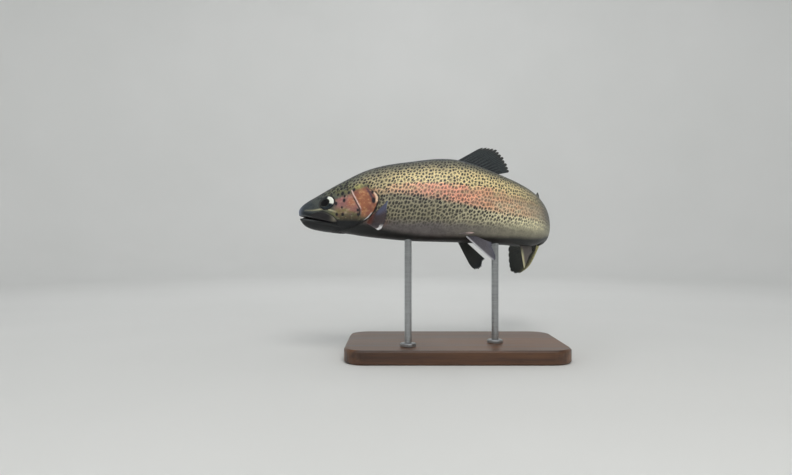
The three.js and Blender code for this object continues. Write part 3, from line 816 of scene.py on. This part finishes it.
def build_skin(material):
    points, triangles, ends, count = [], [], [], 0
    layers = {"paint": [], "marks": [], "lie": []}
    for side in (1, -1):
        s, phi, left, up, mouth = skin_half(side)
        index = count + np.arange(s.size).reshape(s.shape)
        count += s.size
        ends.append(index[-1])
        points.append(place(s, left, up))
        triangles.append(grid_triangles(index, flip=side < 0))
        layers["paint"].append(blend(body_paint(s, phi), MOUTH_INSIDE, smooth(0.1, 0.7, mouth)))
        layers["marks"].append(body_marks(s, phi) * fade(0, 0.2, mouth)[..., None])
        layers["lie"].append(lie_of(s, phi, side))
    # The last rings of both sides close on one point in the middle of the tail's root.
    loop = np.concatenate([ends[0], ends[1][-2:0:-1]])
    triangles.append(np.stack([np.full(len(loop), count), loop, np.roll(loop, -1)], 1))
    points.append(place(BODY_LENGTH, 0, 1))
    for key, value in (("paint", LOWER_REAR), ("marks", np.zeros(3)), ("lie", np.zeros(3))):
        layers[key].append(value)
    flat = {key: np.concatenate([k.reshape(-1, 3) for k in v]) for key, v in layers.items()}
    points = np.concatenate([k.reshape(-1, 3) for k in points])
    points, triangles, flat = welded(points, np.concatenate(triangles), flat)
    skin = make_mesh("skin", points, triangles, "flesh", material, **flat)
    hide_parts("head", "lower_jaw", "maxilla_left", "maxilla_right",
                "gill_cover_left", "gill_cover_right",
                "trunk_front", "trunk_middle", "trunk_rear", "tail_peduncle")


# ---- scales ---------------------------------------------------------------------------

# Outline of one scale, root to tip, in shares of the step along and of the row across.
SCALE_OUTLINE = np.array([
    [-0.55, 0.0], [-0.3, 0.5], [0.2, 0.66], [0.62, 0.56], [0.92, 0.32],
    [1.04, 0.0], [0.92, -0.32], [0.62, -0.56], [0.2, -0.66], [-0.3, -0.5],
])
CORNERS = len(SCALE_OUTLINE)
SCALE_POINTS = np.concatenate([SCALE_OUTLINE, [SCALE_MIDDLE, SCALE_MIDDLE]])


def scale_start(phi):
    """Station behind which scales grow: past the gill cover, the nape and the throat."""
    start = gill_station(phi) + 2.4 - 6 * fade(30, 60, phi)
    return np.where(phi > 150, np.maximum(start, 62), start)


def scale_roots(seed):
    """Station, share of the girth, a random tone and the growth of each scale of a side."""
    chance = np.random.default_rng(seed)
    stations = np.arange(SCALE_START, BODY_LENGTH - 1.5, SCALE_STEP)
    rows = (np.arange(SCALE_ROWS) + 0.5) / SCALE_ROWS
    s, share = np.meshgrid(stations, rows, indexing="ij")
    s = s + SCALE_STEP / 2 * (np.arange(SCALE_ROWS) % 2)[None, :]
    s = s + chance.uniform(-SCALE_SHIFT, SCALE_SHIFT, s.shape)
    share = share + chance.uniform(-ROW_SHIFT, ROW_SHIFT, s.shape) / SCALE_ROWS
    s, share = s.ravel(), share.ravel()
    past = s - scale_start(angle_at_share(s, share))
    keep = past > 0
    return s[keep], share[keep], chance.uniform(-1, 1, keep.sum()), smooth(0, 9, past)[keep]


def scale_triangles(number, flip):
    """For each scale, a fan over its outline and another under it."""
    ring = np.arange(CORNERS)
    after = np.roll(ring, -1)
    top = np.stack([np.full(CORNERS, CORNERS), ring, after], 1)
    bottom = np.stack([np.full(CORNERS, CORNERS + 1), after, ring], 1)
    one = np.concatenate([top, bottom])[:, :: -1 if flip else 1]
    first = np.arange(number)[:, None, None] * (CORNERS + 2)
    return (one[None, :, :] + first).reshape(-1, 3)


def scale_map(root_s, root_share):
    """OFBake: a small patch for each scale, laid out as the scales are on the side."""
    spread = (root_s - SCALE_START) / (BODY_LENGTH - SCALE_START)
    at = lerp(BAKE_MARGIN, 1 - BAKE_MARGIN, np.stack([spread, root_share], 1))
    return (at[:, None, :] + (SCALE_POINTS * BAKE_PATCH)[None, :, :]).reshape(-1, 2)


def sharpen_rims(coat):
    """The outlines of the scales stay crisp in smooth shading."""
    ends = np.empty(len(coat.data.edges) * 2, np.int32)
    coat.data.edges.foreach_get("vertices", ends)
    on_rim = (ends.reshape(-1, 2) % (CORNERS + 2) < CORNERS).all(axis=1)
    coat.data.attributes.new("sharp_edge", "BOOLEAN", "EDGE").data.foreach_set("value", on_rim)


def build_scales(name, side, seed, material):
    root_s, root_share, tone, grown = scale_roots(seed)
    s = root_s[:, None] + SCALE_POINTS[None, :, 0] * SCALE_STEP
    on_body = np.minimum(s, BODY_LENGTH - 0.05)  # the last tips stand past the flesh
    share = root_share[:, None] + SCALE_POINTS[None, :, 1] / SCALE_ROWS
    over = np.where((share < 0) | (share > 1), -1, 1)  # past the back or the belly
    phi = angle_at_share(on_body, np.where(share > 1, 2 - share, np.abs(share)))
    along = (SCALE_POINTS[:, 0] - SCALE_OUTLINE[0, 0]) / np.ptp(SCALE_OUTLINE[:, 0])
    height = SCALE_ROOT + SCALE_TILT * along
    height[CORNERS:] += SCALE_THICKNESS * np.array([0.7, -0.3])
    lift = relief(on_body, phi) + height * lerp(0.3, 1, grown)[:, None]
    left, up = around(on_body, phi, lift)
    # random tone of each scale, and painted shade darkening its root
    shade = 1 + SCALE_TONE * tone[:, None] + ROOT_SHADE * (along - 0.5)
    layers = {
        "paint": (body_paint(on_body, phi) * shade[..., None]).reshape(-1, 3),
        "marks": body_marks(on_body, phi).reshape(-1, 3),
        "lie": lie_of(on_body, phi, side).reshape(-1, 3),
    }
    points = place(s, left * side * over, up).reshape(-1, 3)
    triangles = scale_triangles(len(root_s), flip=side > 0)
    uv = scale_map(root_s, root_share)
    sharpen_rims(make_mesh(name, points, triangles, "flesh", material, uv=uv, **layers))


# ---- fins -----------------------------------------------------------------------------


def sideways(s):
    return place(s, 1, 0) - place(s, 0, 0)


def median_point(shape, way):
    """Points of a fin on the back (way 1) or on the belly (way -1)."""

    def at(u, v):
        s = lerp(shape["from"], shape["to"], u)
        above, below, _ = section(s)
        surface = above if way > 0 else below
        slant = np.radians(curve(u, RAY_SHARES, shape["slants"]))
        length = curve(u, RAY_SHARES, shape["lengths"]) + FIN_SINK
        out = v * length
        up = way * (surface - FIN_SINK + out * np.sin(slant))
        return place(s + (out - FIN_SINK) * np.cos(slant), 0, up)

    across = sideways((shape["from"] + shape["to"]) / 2)
    return at, lambda u, v: across


def tail_point():
    above, below, _ = section(BODY_LENGTH)

    def at(u, v):
        side = 2 * u - 1
        length = curve(np.abs(side), TAIL["share"], TAIL["length"])
        start = np.where(side > 0, above * side, below * side)
        back = GAP + v * length
        return place(BODY_LENGTH + back, 0, start * TAIL_ROOT + TAIL_FLARE * side * v * length)

    return at, lambda u, v: sideways(BODY_LENGTH + GAP + v * TAIL["length"][0])


def body_vector(s, side, vector):
    origin = place(s, 0, 0)
    axes = [place(s + 1, 0, 0) - origin, place(s, 1, 0) - origin, place(s, 0, 1) - origin]
    return vector[0] * axes[0] + side * vector[1] * axes[1] + vector[2] * axes[2]


def paired_point(shape):
    side = math.copysign(1, shape["angle"])
    root_left, root_up = around(shape["station"], shape["angle"], -FIN_SINK)
    first = body_vector(shape["station"], side, shape["first"])
    last = body_vector(shape["station"], side, shape["last"])
    reach = max(np.linalg.norm(first), np.linalg.norm(last))
    normal = np.cross(first, last)
    normal /= np.linalg.norm(normal)

    def at(u, v):
        s = shape["station"] + shape["base"] * (u - 0.5)
        base = place(s, root_left, root_up + shape["rise"] * (u - 0.5))
        ray = first + (last - first) * u[..., None]
        size = np.linalg.norm(ray, axis=-1)
        bulge = 1 + FIN_BULGE * np.sin(np.pi * np.minimum(1, u * 1.25))
        corner = 1 - FIN_CORNER * np.maximum(0, 1 - u / 0.08)
        length = size * bulge * corner + FIN_SINK
        hollow = FIN_HOLLOW * reach * v * v
        along = ray / size[..., None]
        return base + along * (v * length)[..., None] + normal * hollow[..., None]

    return at, lambda u, v: normal


def ray_forms(u, v, rays, ragged, chance):
    """How far each point stands out as part of a ray, the fork and how far rays reach."""
    which = np.minimum((u * rays).astype(int), rays - 1)
    off = np.abs(u * rays - which - 0.5) * 2
    off_half = np.abs((2 * u * rays) % 1 - 0.5) * 2
    fork = smooth(0.4, 0.7, v)
    ridge = lerp(1 - off**1.5, 1 - off_half**1.5, fork)
    shorter = chance.uniform(0, 1, rays)[which] * ragged
    return ridge, fork, 1 - shorter * (1 - off**3) * 0.6 - ragged * off**3


def fin_paint(u, v, ridge, look):
    """Colours of a fin from its web outwards; u runs over its rays, v from root to tip."""
    over_lead = look["lead_strength"] * smooth(*look["lead_from"], v)
    # painted light on the upper rays of the pectoral fin
    blue = smooth(0.5, 0.8, u) * smooth(0.3, 0.55, v) * (0.25 + 0.65 * ridge**2)
    return painted(
        look["web"],
        (look["ray"], 0.8 * ridge**2),
        (look["tip"], smooth(look["tip_from"], 1, v)),
        (LIT_RAY_BLUE, look["blue"] * blue),
        (GILL_RED, look["root_strength"] * fade(0.1, 0.4, v)),
        (look["lead"], over_lead * hump(u * look["rays"], 1.1)),
        # painted highlight: a white corner at the tip of the first ray
        (BRIGHT, look["corner"] * fade(0.1, 0.26, u) * smooth(0.78, 0.84, v)),
    )


def fin_marks(u, v, look):
    marks = np.zeros(u.shape + (3,))
    marks[..., 0] = look["spots"] * window(0.02, 0.12, 0.75, 0.95, v)
    marks[..., 1] = FIN_SPOT
    return marks


def build_fin(name, node, geometry, look, material, seed):
    """A fin of forked rays and thin membrane, with a torn edge."""
    at, across = geometry
    rays = look["rays"]
    u, v = np.meshgrid(
        np.linspace(0, 1, rays * RAY_COLUMNS + 1), np.linspace(0, 1, FIN_ROWS + 1), indexing="ij"
    )
    chance = np.random.default_rng(seed)
    ridge, fork, reach = ray_forms(u, v, rays, look["ragged"], chance)
    middle = at(u, v * reach)
    thick = lerp(*look["thick"], v**0.6) * (0.45 + 0.5 * ridge * (1 - 0.5 * fork))
    thick = thick * (1 + 0.25 * hump(u * rays, 0.8))
    direction = np.broadcast_to(across(u, v * reach), middle.shape)
    direction = direction / np.linalg.norm(direction, axis=-1, keepdims=True)
    half = direction * (thick / 2)[..., None]
    points, triangles = shell(middle + half, middle - half)

    length = np.linalg.norm(at(u, 0 * u + 1) - at(u, 0 * u), axis=-1)
    width = np.linalg.norm(at(0 * u + 1, v) - at(0 * u, v), axis=-1)
    along = v * length / CM + FIN_PATTERN + NEXT_FIN * seed
    lie = np.stack([along, u * width / CM, 0 * u], axis=-1)
    paint, marks = fin_paint(u, v, ridge, look), fin_marks(u, v, look)
    layers = shell_layers(paint=paint, marks=marks, lie=lie)
    piece = make_mesh(name, points, triangles, "fin", material, **layers)
    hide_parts(node)


# Colours and forms that the fins share. thick is at the root and at the edge, ragged how
# much of the tips is torn away; the other numbers are strengths and where they begin.
PLAIN_FIN = {"web": FIN_DARK, "ray": colour(60, 67, 71), "tip": FIN_DARK, "lead": FIN_DARK}
PLAIN_FIN.update(thick=(2.6, 0.9), ragged=0.05, rays=10, tip_from=0.7, lead_from=(-2, -1))
PLAIN_FIN.update(lead_strength=0, root_strength=0, blue=0, corner=0, spots=0)


def median_looks():
    dorsal = dict(PLAIN_FIN, rays=12, ray=colour(76, 84, 86), tip=colour(62, 62, 60))
    dorsal.update(tip_from=0.8, spots=0.5, ragged=0.11)
    adipose = dict(PLAIN_FIN, rays=4, web=colour(104, 108, 96), ray=colour(112, 114, 100))
    adipose.update(thick=(2.4, 1.3), spots=0.6, ragged=0.02)
    anal = dict(PLAIN_FIN, web=colour(84, 80, 80), ray=colour(126, 118, 112))
    anal.update(tip=colour(104, 98, 94), lead=colour(226, 220, 176))
    anal.update(lead_strength=0.9, lead_from=(-0.01, 0.69))
    tail = dict(PLAIN_FIN, rays=19, web=colour(38, 42, 41), ray=colour(62, 64, 58))
    tail.update(tip=colour(34, 38, 37), lead=colour(206, 200, 144), lead_strength=0.9)
    tail.update(thick=(4.2, 1.0), spots=0.6, ragged=0.04)
    return dorsal, adipose, anal, tail


def paired_looks():
    pectoral = dict(PLAIN_FIN, rays=13, web=colour(34, 32, 38), ray=colour(84, 80, 88))
    pectoral.update(tip=colour(52, 48, 54), lead=colour(120, 112, 116), lead_strength=0.5)
    # blue turns on the painted light on the upper rays, corner the painted highlight at the tip
    pectoral.update(blue=1, root_strength=0.8, corner=1)
    pelvic = dict(PLAIN_FIN, web=colour(58, 56, 64), ray=colour(98, 94, 104))
    pelvic.update(tip=colour(70, 70, 84), lead=colour(206, 206, 212), lead_strength=1)
    # The right pelvic fin: the pelvic's colours painted darker, as painted shade.
    far = dict(PLAIN_FIN, web=colour(34, 37, 36), ray=colour(54, 56, 54))
    return pectoral, pelvic, far


def build_fins(material):
    dorsal, adipose, anal, tail = median_looks()
    pectoral, pelvic, far = paired_looks()
    fins = [
        ("dorsal", "dorsal_fin", median_point(DORSAL, 1), dorsal),
        ("adipose", "adipose_fin", median_point(ADIPOSE, 1), adipose),
        ("anal", "anal_fin", median_point(ANAL, -1), anal),
        ("caudal", "caudal_fin", tail_point(), tail),
        ("pectoral_left", "pectoral_fin_left", paired_point(PECTORAL_LEFT), pectoral),
        ("pectoral_right", "pectoral_fin_right", paired_point(PECTORAL_RIGHT), pectoral),
        ("pelvic_left", "pelvic_fin_left", paired_point(PELVIC_LEFT), pelvic),
        # the right pelvic fin in painted shade
        ("pelvic_right", "pelvic_fin_right", paired_point(PELVIC_RIGHT), far),
    ]
    for seed, (name, node, geometry, look) in enumerate(fins, 3):
        build_fin(name, node, geometry, look, material, seed)


def build_processes(material):
    """The small pointed flaps of skin over the roots of the pelvic fins."""
    u, v = np.meshgrid(np.linspace(0, 1, 25), np.linspace(-1, 1, 9), indexing="ij")
    width = 1.5 * np.sin(np.pi * np.minimum(0.5, 0.1 + 0.55 * u)) * (1 - u**3)
    s = lerp(PROCESS["from"], PROCESS["to"], u)
    phi = lerp(*PROCESS["angles"], u) + v * width * 2.2
    crown = np.sqrt(np.maximum(1 - v * v, 0)) * (0.3 + 0.9 * u) * (1 - u**4)
    paint = blend(SHADED_BELLY, PALE_PINK, 0.55 * smooth(0.3, 0.9, u))
    for side, name in ((1, "axillary_process_left"), (-1, "axillary_process_right")):
        faces = [skin_point(s, side * phi, lift) for lift in (crown - 0.3, -0.9)]
        lie = lie_of(s, phi, side)
        layers = shell_layers(paint=paint, marks=0 * lie, lie=lie)
        make_mesh(name, *shell(*faces), "flesh", material, **layers)


# ---- eyes -----------------------------------------------------------------------------


def eye_axes(side):
    """Centre of the eye and its axes ahead, up and outwards."""
    s, phi = EYE["station"], side * EYE["angle"]
    on = skin_point(s, phi)
    ahead = skin_point(s - 3, phi) - skin_point(s + 3, phi)
    over = skin_point(s, side * (EYE["angle"] - 8)) - skin_point(s, side * (EYE["angle"] + 8))
    outward = np.cross(over, ahead) * side
    outward /= np.linalg.norm(outward)
    ahead /= np.linalg.norm(ahead)
    return on - outward * EYE["sunk"], ahead, np.cross(outward, ahead), outward


def build_eye(side, name, node, material):
    centre, ahead, tall, outward = eye_axes(side)
    angle = np.linspace(0, math.pi, EYE_RINGS)[:, None]
    turn = np.linspace(0, 2 * math.pi, EYE_TURNS, endpoint=False)[None, :]
    x = np.sin(angle) * np.cos(turn)
    y = np.sin(angle) * np.sin(turn)
    z = np.cos(angle) + 0 * turn
    depth = np.where(z > 0, EYE["front"], EYE["back"])
    points = (
        centre
        + (x * EYE["along"])[..., None] * ahead
        + (y * EYE["tall"])[..., None] * tall * -side
        + (z * depth)[..., None] * outward
    )
    index = np.arange(x.size).reshape(x.shape)
    triangles = grid_triangles(np.concatenate([index, index[:, :1]], axis=1))
    look = {"look": np.stack([x, y, z], axis=-1).reshape(-1, 3)}
    points, triangles, look = welded(points.reshape(-1, 3), triangles, look)
    ball = make_mesh(name, points, facing_out(points, triangles), "eye", material, **look)
    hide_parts(node)


# ---- materials ------------------------------------------------------------------------


class Nodes:
    """A material's node tree with short calls for the nodes used here."""

    def __init__(self, name):
        self.material = bpy.data.materials.new(name)
        self.material.use_nodes = True
        self.tree = self.material.node_tree
        self.shader = self.tree.nodes["Principled BSDF"]

    def add(self, kind, inputs=None, **settings):
        node = self.tree.nodes.new(kind)
        for key, value in settings.items():
            setattr(node, key, value)
        for key, value in (inputs or {}).items():
            self.set(node.inputs[key], value)
        return node

    def set(self, socket, value):
        if isinstance(value, bpy.types.NodeSocket):
            self.tree.links.new(value, socket)
        else:
            socket.default_value = value

    def surface(self, sockets):
        """Links or values for the shader's own sockets; returns the finished material."""
        for key, value in sockets.items():
            self.set(self.shader.inputs[key], value)
        return self.material

    def layer(self, name, output):
        return self.add("ShaderNodeAttribute", attribute_name=name).outputs[output]

    def math(self, operation, a, b=0.0):
        return self.add("ShaderNodeMath", {0: a, 1: b}, operation=operation).outputs[0]

    def vector(self, operation, a, b):
        return self.add("ShaderNodeVectorMath", {0: a, 1: b}, operation=operation).outputs[0]

    def times(self, a, b):
        return self.math("MULTIPLY", a, b)

    def plus(self, a, b):
        return self.math("ADD", a, b)

    def parts(self, vector):
        return self.add("ShaderNodeSeparateXYZ", {0: vector}).outputs

    def distance(self, a, b):
        """Length of a flat vector of two parts."""
        return self.math("SQRT", self.plus(self.math("POWER", a, 2.0), self.math("POWER", b, 2.0)))

    def ramp(self, value, low, high, to_low=0.0, to_high=1.0):
        inputs = {"Value": value, "From Min": low, "From Max": high}
        inputs.update({"To Min": to_low, "To Max": to_high})
        node = self.add("ShaderNodeMapRange", inputs, interpolation_type="SMOOTHSTEP")
        return node.outputs["Result"]

    def mix(self, factor, a, b, mode="MIX"):
        node = self.add("ShaderNodeMix", data_type="RGBA", blend_type=mode)
        self.set(node.inputs["Factor"], factor)
        for key, value in ((6, a), (7, b)):
            if not isinstance(value, bpy.types.NodeSocket):
                value = tuple(value) + (1.0,)
            self.set(node.inputs[key], value)
        return node.outputs[2]

    def noise(self, vector, scale, detail=3.0, roughness=0.55, output="Fac"):
        inputs = {"Vector": vector, "Scale": scale, "Detail": detail, "Roughness": roughness}
        return self.add("ShaderNodeTexNoise", inputs).outputs[output]

    def stretched_noise(self, size, detail, roughness=0.55):
        """Noise over the object's own coordinates, with its own size along each axis."""
        where = self.add("ShaderNodeTexCoord").outputs["Object"]
        return self.noise(self.vector("MULTIPLY", where, size), 1.0, detail, roughness)

    def bump(self, height, distance, strength=1.0):
        inputs = {"Height": height, "Distance": distance, "Strength": strength}
        return self.add("ShaderNodeBump", inputs).outputs[0]


def spot_cells(n, lie):
    """The two cell patterns that spots and net are cut from, bent and leaning."""
    wander = n.noise(lie, 1.7, 2.0, output="Color")
    wander = n.vector("SUBTRACT", wander, (0.5, 0.5, 0.5))
    where = n.vector("ADD", lie, n.vector("MULTIPLY", wander, (0.16, 0.22, 0.0)))
    x, y, _ = n.parts(where)
    leaning = n.plus(n.times(x, 3.0), n.times(y, 0.8))
    inputs = {0: leaning, 1: n.times(y, 2.3), 2: 0.0}
    where = n.add("ShaderNodeCombineXYZ", inputs).outputs[0]
    inputs = {"Vector": where, "Scale": 1.0, "Randomness": 0.72}
    cells, borders = [
        n.add("ShaderNodeTexVoronoi", voronoi_dimensions="2D", feature=feature)
        for feature in ("F1", "DISTANCE_TO_EDGE")
    ]
    for node in (cells, borders):
        for key, value in inputs.items():
            n.set(node.inputs[key], value)
    return cells.outputs, borders.outputs["Distance"]


def fish_material(name, roughness, coat, bump):
    """Paint and markings that skin, scales and fins share."""
    n = Nodes(name)
    lie, paint = n.layer("lie", "Vector"), n.layer("paint", "Color")
    strength, size, net_strength = n.parts(n.layer("marks", "Vector"))
    cells, border = spot_cells(n, lie)

    chance = n.parts(cells["Color"])
    radius = n.times(size, n.ramp(chance[0], 0.0, 1.0, 0.78, 1.2))
    spot = n.ramp(cells["Distance"], n.times(radius, 0.6), n.times(radius, 1.14), 1.0, 0.0)
    spot = n.times(n.times(spot, strength), n.ramp(chance[1], 0.0, 0.5, 0.55, 1.0))
    net = n.math("SUBTRACT", n.ramp(border, 0.03, 0.25, 1.5, 0.66), 1.0)
    net = n.plus(n.times(net, net_strength), 1.0)

    fine, broad = n.noise(lie, 9.0, 4.0), n.noise(lie, 1.1, 3.0)
    shade = n.times(n.ramp(fine, 0.3, 0.7, 0.86, 1.12), n.ramp(broad, 0.3, 0.7, 0.88, 1.1))
    shade = n.times(shade, net)
    grey = n.add("ShaderNodeCombineColor", {0: shade, 1: shade, 2: shade}).outputs[0]
    return n.surface({
        "Base Color": n.mix(spot, n.mix(1.0, paint, grey, "MULTIPLY"), INK),
        "Normal": n.bump(n.noise(lie, 22.0, 3.0), bump),
        "Roughness": n.ramp(fine, 0.2, 0.8, roughness - 0.07, roughness + 0.07),
        "Coat Weight": coat,
        "Coat Roughness": 0.3,
        "Specular IOR Level": 0.35,
    })


# Looks of the eye; its radii are shares of the ball's own.
PUPIL_AHEAD, PUPIL_RADIUS = 0.14, 0.49
IRIS_DARK, IRIS_LIGHT = colour(26, 34, 40), colour(44, 53, 58)
CRESCENT, IRIS_RING = colour(246, 250, 240), colour(120, 114, 88)
PUPIL, EYE_RIM = colour(8, 9, 12), colour(18, 18, 20)


def eye_material():
    """Pupil, iris with its silver crescent, and the dark rim."""
    n = Nodes("eye_look")
    look = n.layer("look", "Vector")
    x, y, _ = n.parts(look)
    long = n.times(n.math("SUBTRACT", x, PUPIL_AHEAD), n.ramp(x, 0.0, 0.6, 1.0, 0.72))
    radius, rim = n.distance(long, y), n.distance(x, y)
    streaks = n.noise(look, 9.0, 4.0)
    iris = n.mix(n.ramp(streaks, 0.35, 0.65), IRIS_DARK, IRIS_LIGHT)
    way = n.plus(n.times(x, -0.9), n.times(y, 0.44))
    way = n.math("DIVIDE", way, n.math("MAXIMUM", rim, 0.05))
    crescent = n.times(n.ramp(way, 0.5, 0.78), n.ramp(radius, 0.56, 0.62))
    iris = n.mix(crescent, iris, CRESCENT)
    ring = n.times(n.ramp(radius, 0.5, 0.53), n.ramp(radius, 0.54, 0.58, 1.0, 0.0))
    iris = n.mix(n.times(ring, 0.3), iris, IRIS_RING)
    ball = n.mix(n.ramp(radius, PUPIL_RADIUS, 0.53), PUPIL, iris)
    return n.surface({
        "Base Color": n.mix(n.ramp(rim, 0.9, 0.96), ball, EYE_RIM),
        "Roughness": n.ramp(streaks, 0.2, 0.8, 0.06, 0.12),
        "Coat Weight": 0.25,
        "Coat Roughness": 0.03,
        "Specular IOR Level": 0.15,
    })


def wood_material():
    n = Nodes("walnut")
    bent = n.stretched_noise((4.0, 16.0, 16.0), 3.0)
    grain = n.stretched_noise((3.0, 90.0, 60.0), 6.0, 0.6)
    pores = n.stretched_noise((60.0, 1400.0, 1400.0), 2.0)
    tone = n.plus(n.times(grain, 0.7), n.times(bent, 0.3))
    base = n.mix(n.ramp(tone, 0.36, 0.62), colour(62, 38, 24), colour(120, 80, 50))
    return n.surface({
        "Base Color": n.mix(n.ramp(pores, 0.58, 0.7, 0.0, 0.45), base, colour(40, 24, 16)),
        "Roughness": n.ramp(grain, 0.3, 0.7, 0.34, 0.46),
        "Normal": n.bump(pores, 0.0002, 0.4),
        "Coat Weight": 0.2,
        "Coat Roughness": 0.25,
    })


def steel_material():
    n = Nodes("brushed_steel")
    lines = n.stretched_noise((40.0, 40.0, 5000.0), 3.0)
    return n.surface({
        "Base Color": n.mix(n.ramp(lines, 0.3, 0.7), colour(150, 152, 154), colour(186, 188, 190)),
        "Roughness": n.ramp(lines, 0.3, 0.7, 0.26, 0.4),
        "Normal": n.bump(lines, 0.0001, 0.5),
        "Metallic": 1.0,
    })


def dress_stand():
    wood, steel = wood_material(), steel_material()
    looks = {"stand_plinth": wood, "stand_rod_front": steel, "stand_rod_rear": steel}
    for name, material in looks.items():
        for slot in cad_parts[name].material_slots:
            slot.material = material


# ---- stage ----------------------------------------------------------------------------

CAMERA_OFFSET = (110.3, -707, -28.4)  # millimetres from the snout
LENS, SENSOR = 28.18, 36
FLOOR_FLAT, FLOOR_BEND, WALL_TOP = 1.5, 0.6, 3.0  # metres
FLOOR_TURNS = 64
LIT_PLACE = (0, -0.02, 0.15)


def make_camera():
    data = bpy.data.cameras.new("camera")
    data.sensor_width = SENSOR
    data.lens = LENS
    camera = bpy.data.objects.new("camera", data)
    camera.location = (SNOUT_AT + np.array(CAMERA_OFFSET)) * MM
    camera.rotation_euler = (math.radians(90), 0, 0)
    bpy.context.scene.collection.objects.link(camera)
    bpy.context.scene.camera = camera


def stage_material():
    n = Nodes("studio_paper")
    where = n.add("ShaderNodeTexCoord").outputs["Object"]
    base = n.mix(n.noise(where, 3.0, 2.0), (0.72, 0.73, 0.72), (0.78, 0.785, 0.78))
    return n.surface({"Base Color": base, "Roughness": 0.9})


def make_floor():
    """A round pale floor that curves up into a pale wall on every side."""
    turn = np.linspace(0, math.pi / 2, 12)
    radius = np.append(FLOOR_FLAT + FLOOR_BEND * np.sin(turn), FLOOR_FLAT + FLOOR_BEND)
    height = np.append(FLOOR_BEND * (1 - np.cos(turn)), WALL_TOP)
    points = [(0.0, 0.0, 0.0)]
    for r, z in zip(radius, height):
        for angle in np.linspace(0, 2 * math.pi, FLOOR_TURNS, endpoint=False):
            points.append((r * math.cos(angle), r * math.sin(angle), z))
    faces = [(0, 1 + k, 1 + (k + 1) % FLOOR_TURNS) for k in range(FLOOR_TURNS)]
    for first in range(1, len(points) - FLOOR_TURNS, FLOOR_TURNS):
        for k in range(FLOOR_TURNS):
            a, b = first + k, first + (k + 1) % FLOOR_TURNS
            faces.append((a, a + FLOOR_TURNS, b + FLOOR_TURNS, b))
    mesh = bpy.data.meshes.new("floor")
    mesh.from_pydata(points, [], faces)
    mesh.polygons.foreach_set("use_smooth", [True] * len(faces))
    mesh.materials.append(stage_material())
    floor = bpy.data.objects.new("floor", mesh)
    bpy.context.scene.collection.objects.link(floor)


def make_light(name, location, target, size, power, tint=(1, 1, 1)):
    data = bpy.data.lights.new(name, "AREA")
    data.shape = "DISK"
    data.size = size
    data.energy = power
    data.color = tint
    light = bpy.data.objects.new(name, data)
    x, y, z = np.array(target) - np.array(location)
    light.location = location
    tilt, turn = math.atan2(math.hypot(x, y), -z), math.atan2(y, x) - math.pi / 2
    light.rotation_euler = (tilt, 0, turn)
    bpy.context.scene.collection.objects.link(light)


def make_lights():
    make_light("key", (0.12, -0.9, 1.15), LIT_PLACE, 0.6, 7.6, (1, 0.98, 0.94))
    make_light("top", (-0.1, 0.0, 1.5), LIT_PLACE, 1.4, 3.4, (0.95, 0.98, 1))
    walls = {"back": (0, 1, 9), "front": (0, -1, 5), "left": (-1, 0, 5), "right": (1, 0, 4)}
    for name, (x, y, power) in walls.items():
        make_light(f"wall_{name}", (0.7 * x, 0.7 * y, 1.4), (2 * x, 2 * y, 0.5), 1.0, power)
    world = bpy.data.worlds.new("studio")
    world.use_nodes = True
    background = world.node_tree.nodes["Background"]
    background.inputs["Color"].default_value = (0.86, 0.9, 0.92, 1)
    background.inputs["Strength"].default_value = 0.08
    bpy.context.scene.world = world
    bpy.context.scene.view_settings.view_transform = "Standard"


# ---- the model ------------------------------------------------------------------------

make_camera()
skin_look = fish_material("trout_skin", 0.46, 0.12, 0.0003)
scale_look = fish_material("trout_scales", 0.5, 0.1, 0.0001)
fin_skin = fish_material("trout_fin", 0.5, 0.1, 0.0002)
build_skin(skin_look)
build_scales("scales_left", 1, 11, scale_look)
build_scales("scales_right", -1, 12, scale_look)
build_fins(fin_skin)
build_processes(skin_look)
eyes = eye_material()
build_eye(1, "eye_ball_left", "eye_left", eyes)
build_eye(-1, "eye_ball_right", "eye_right", eyes)
dress_stand()
make_floor()
make_lights()
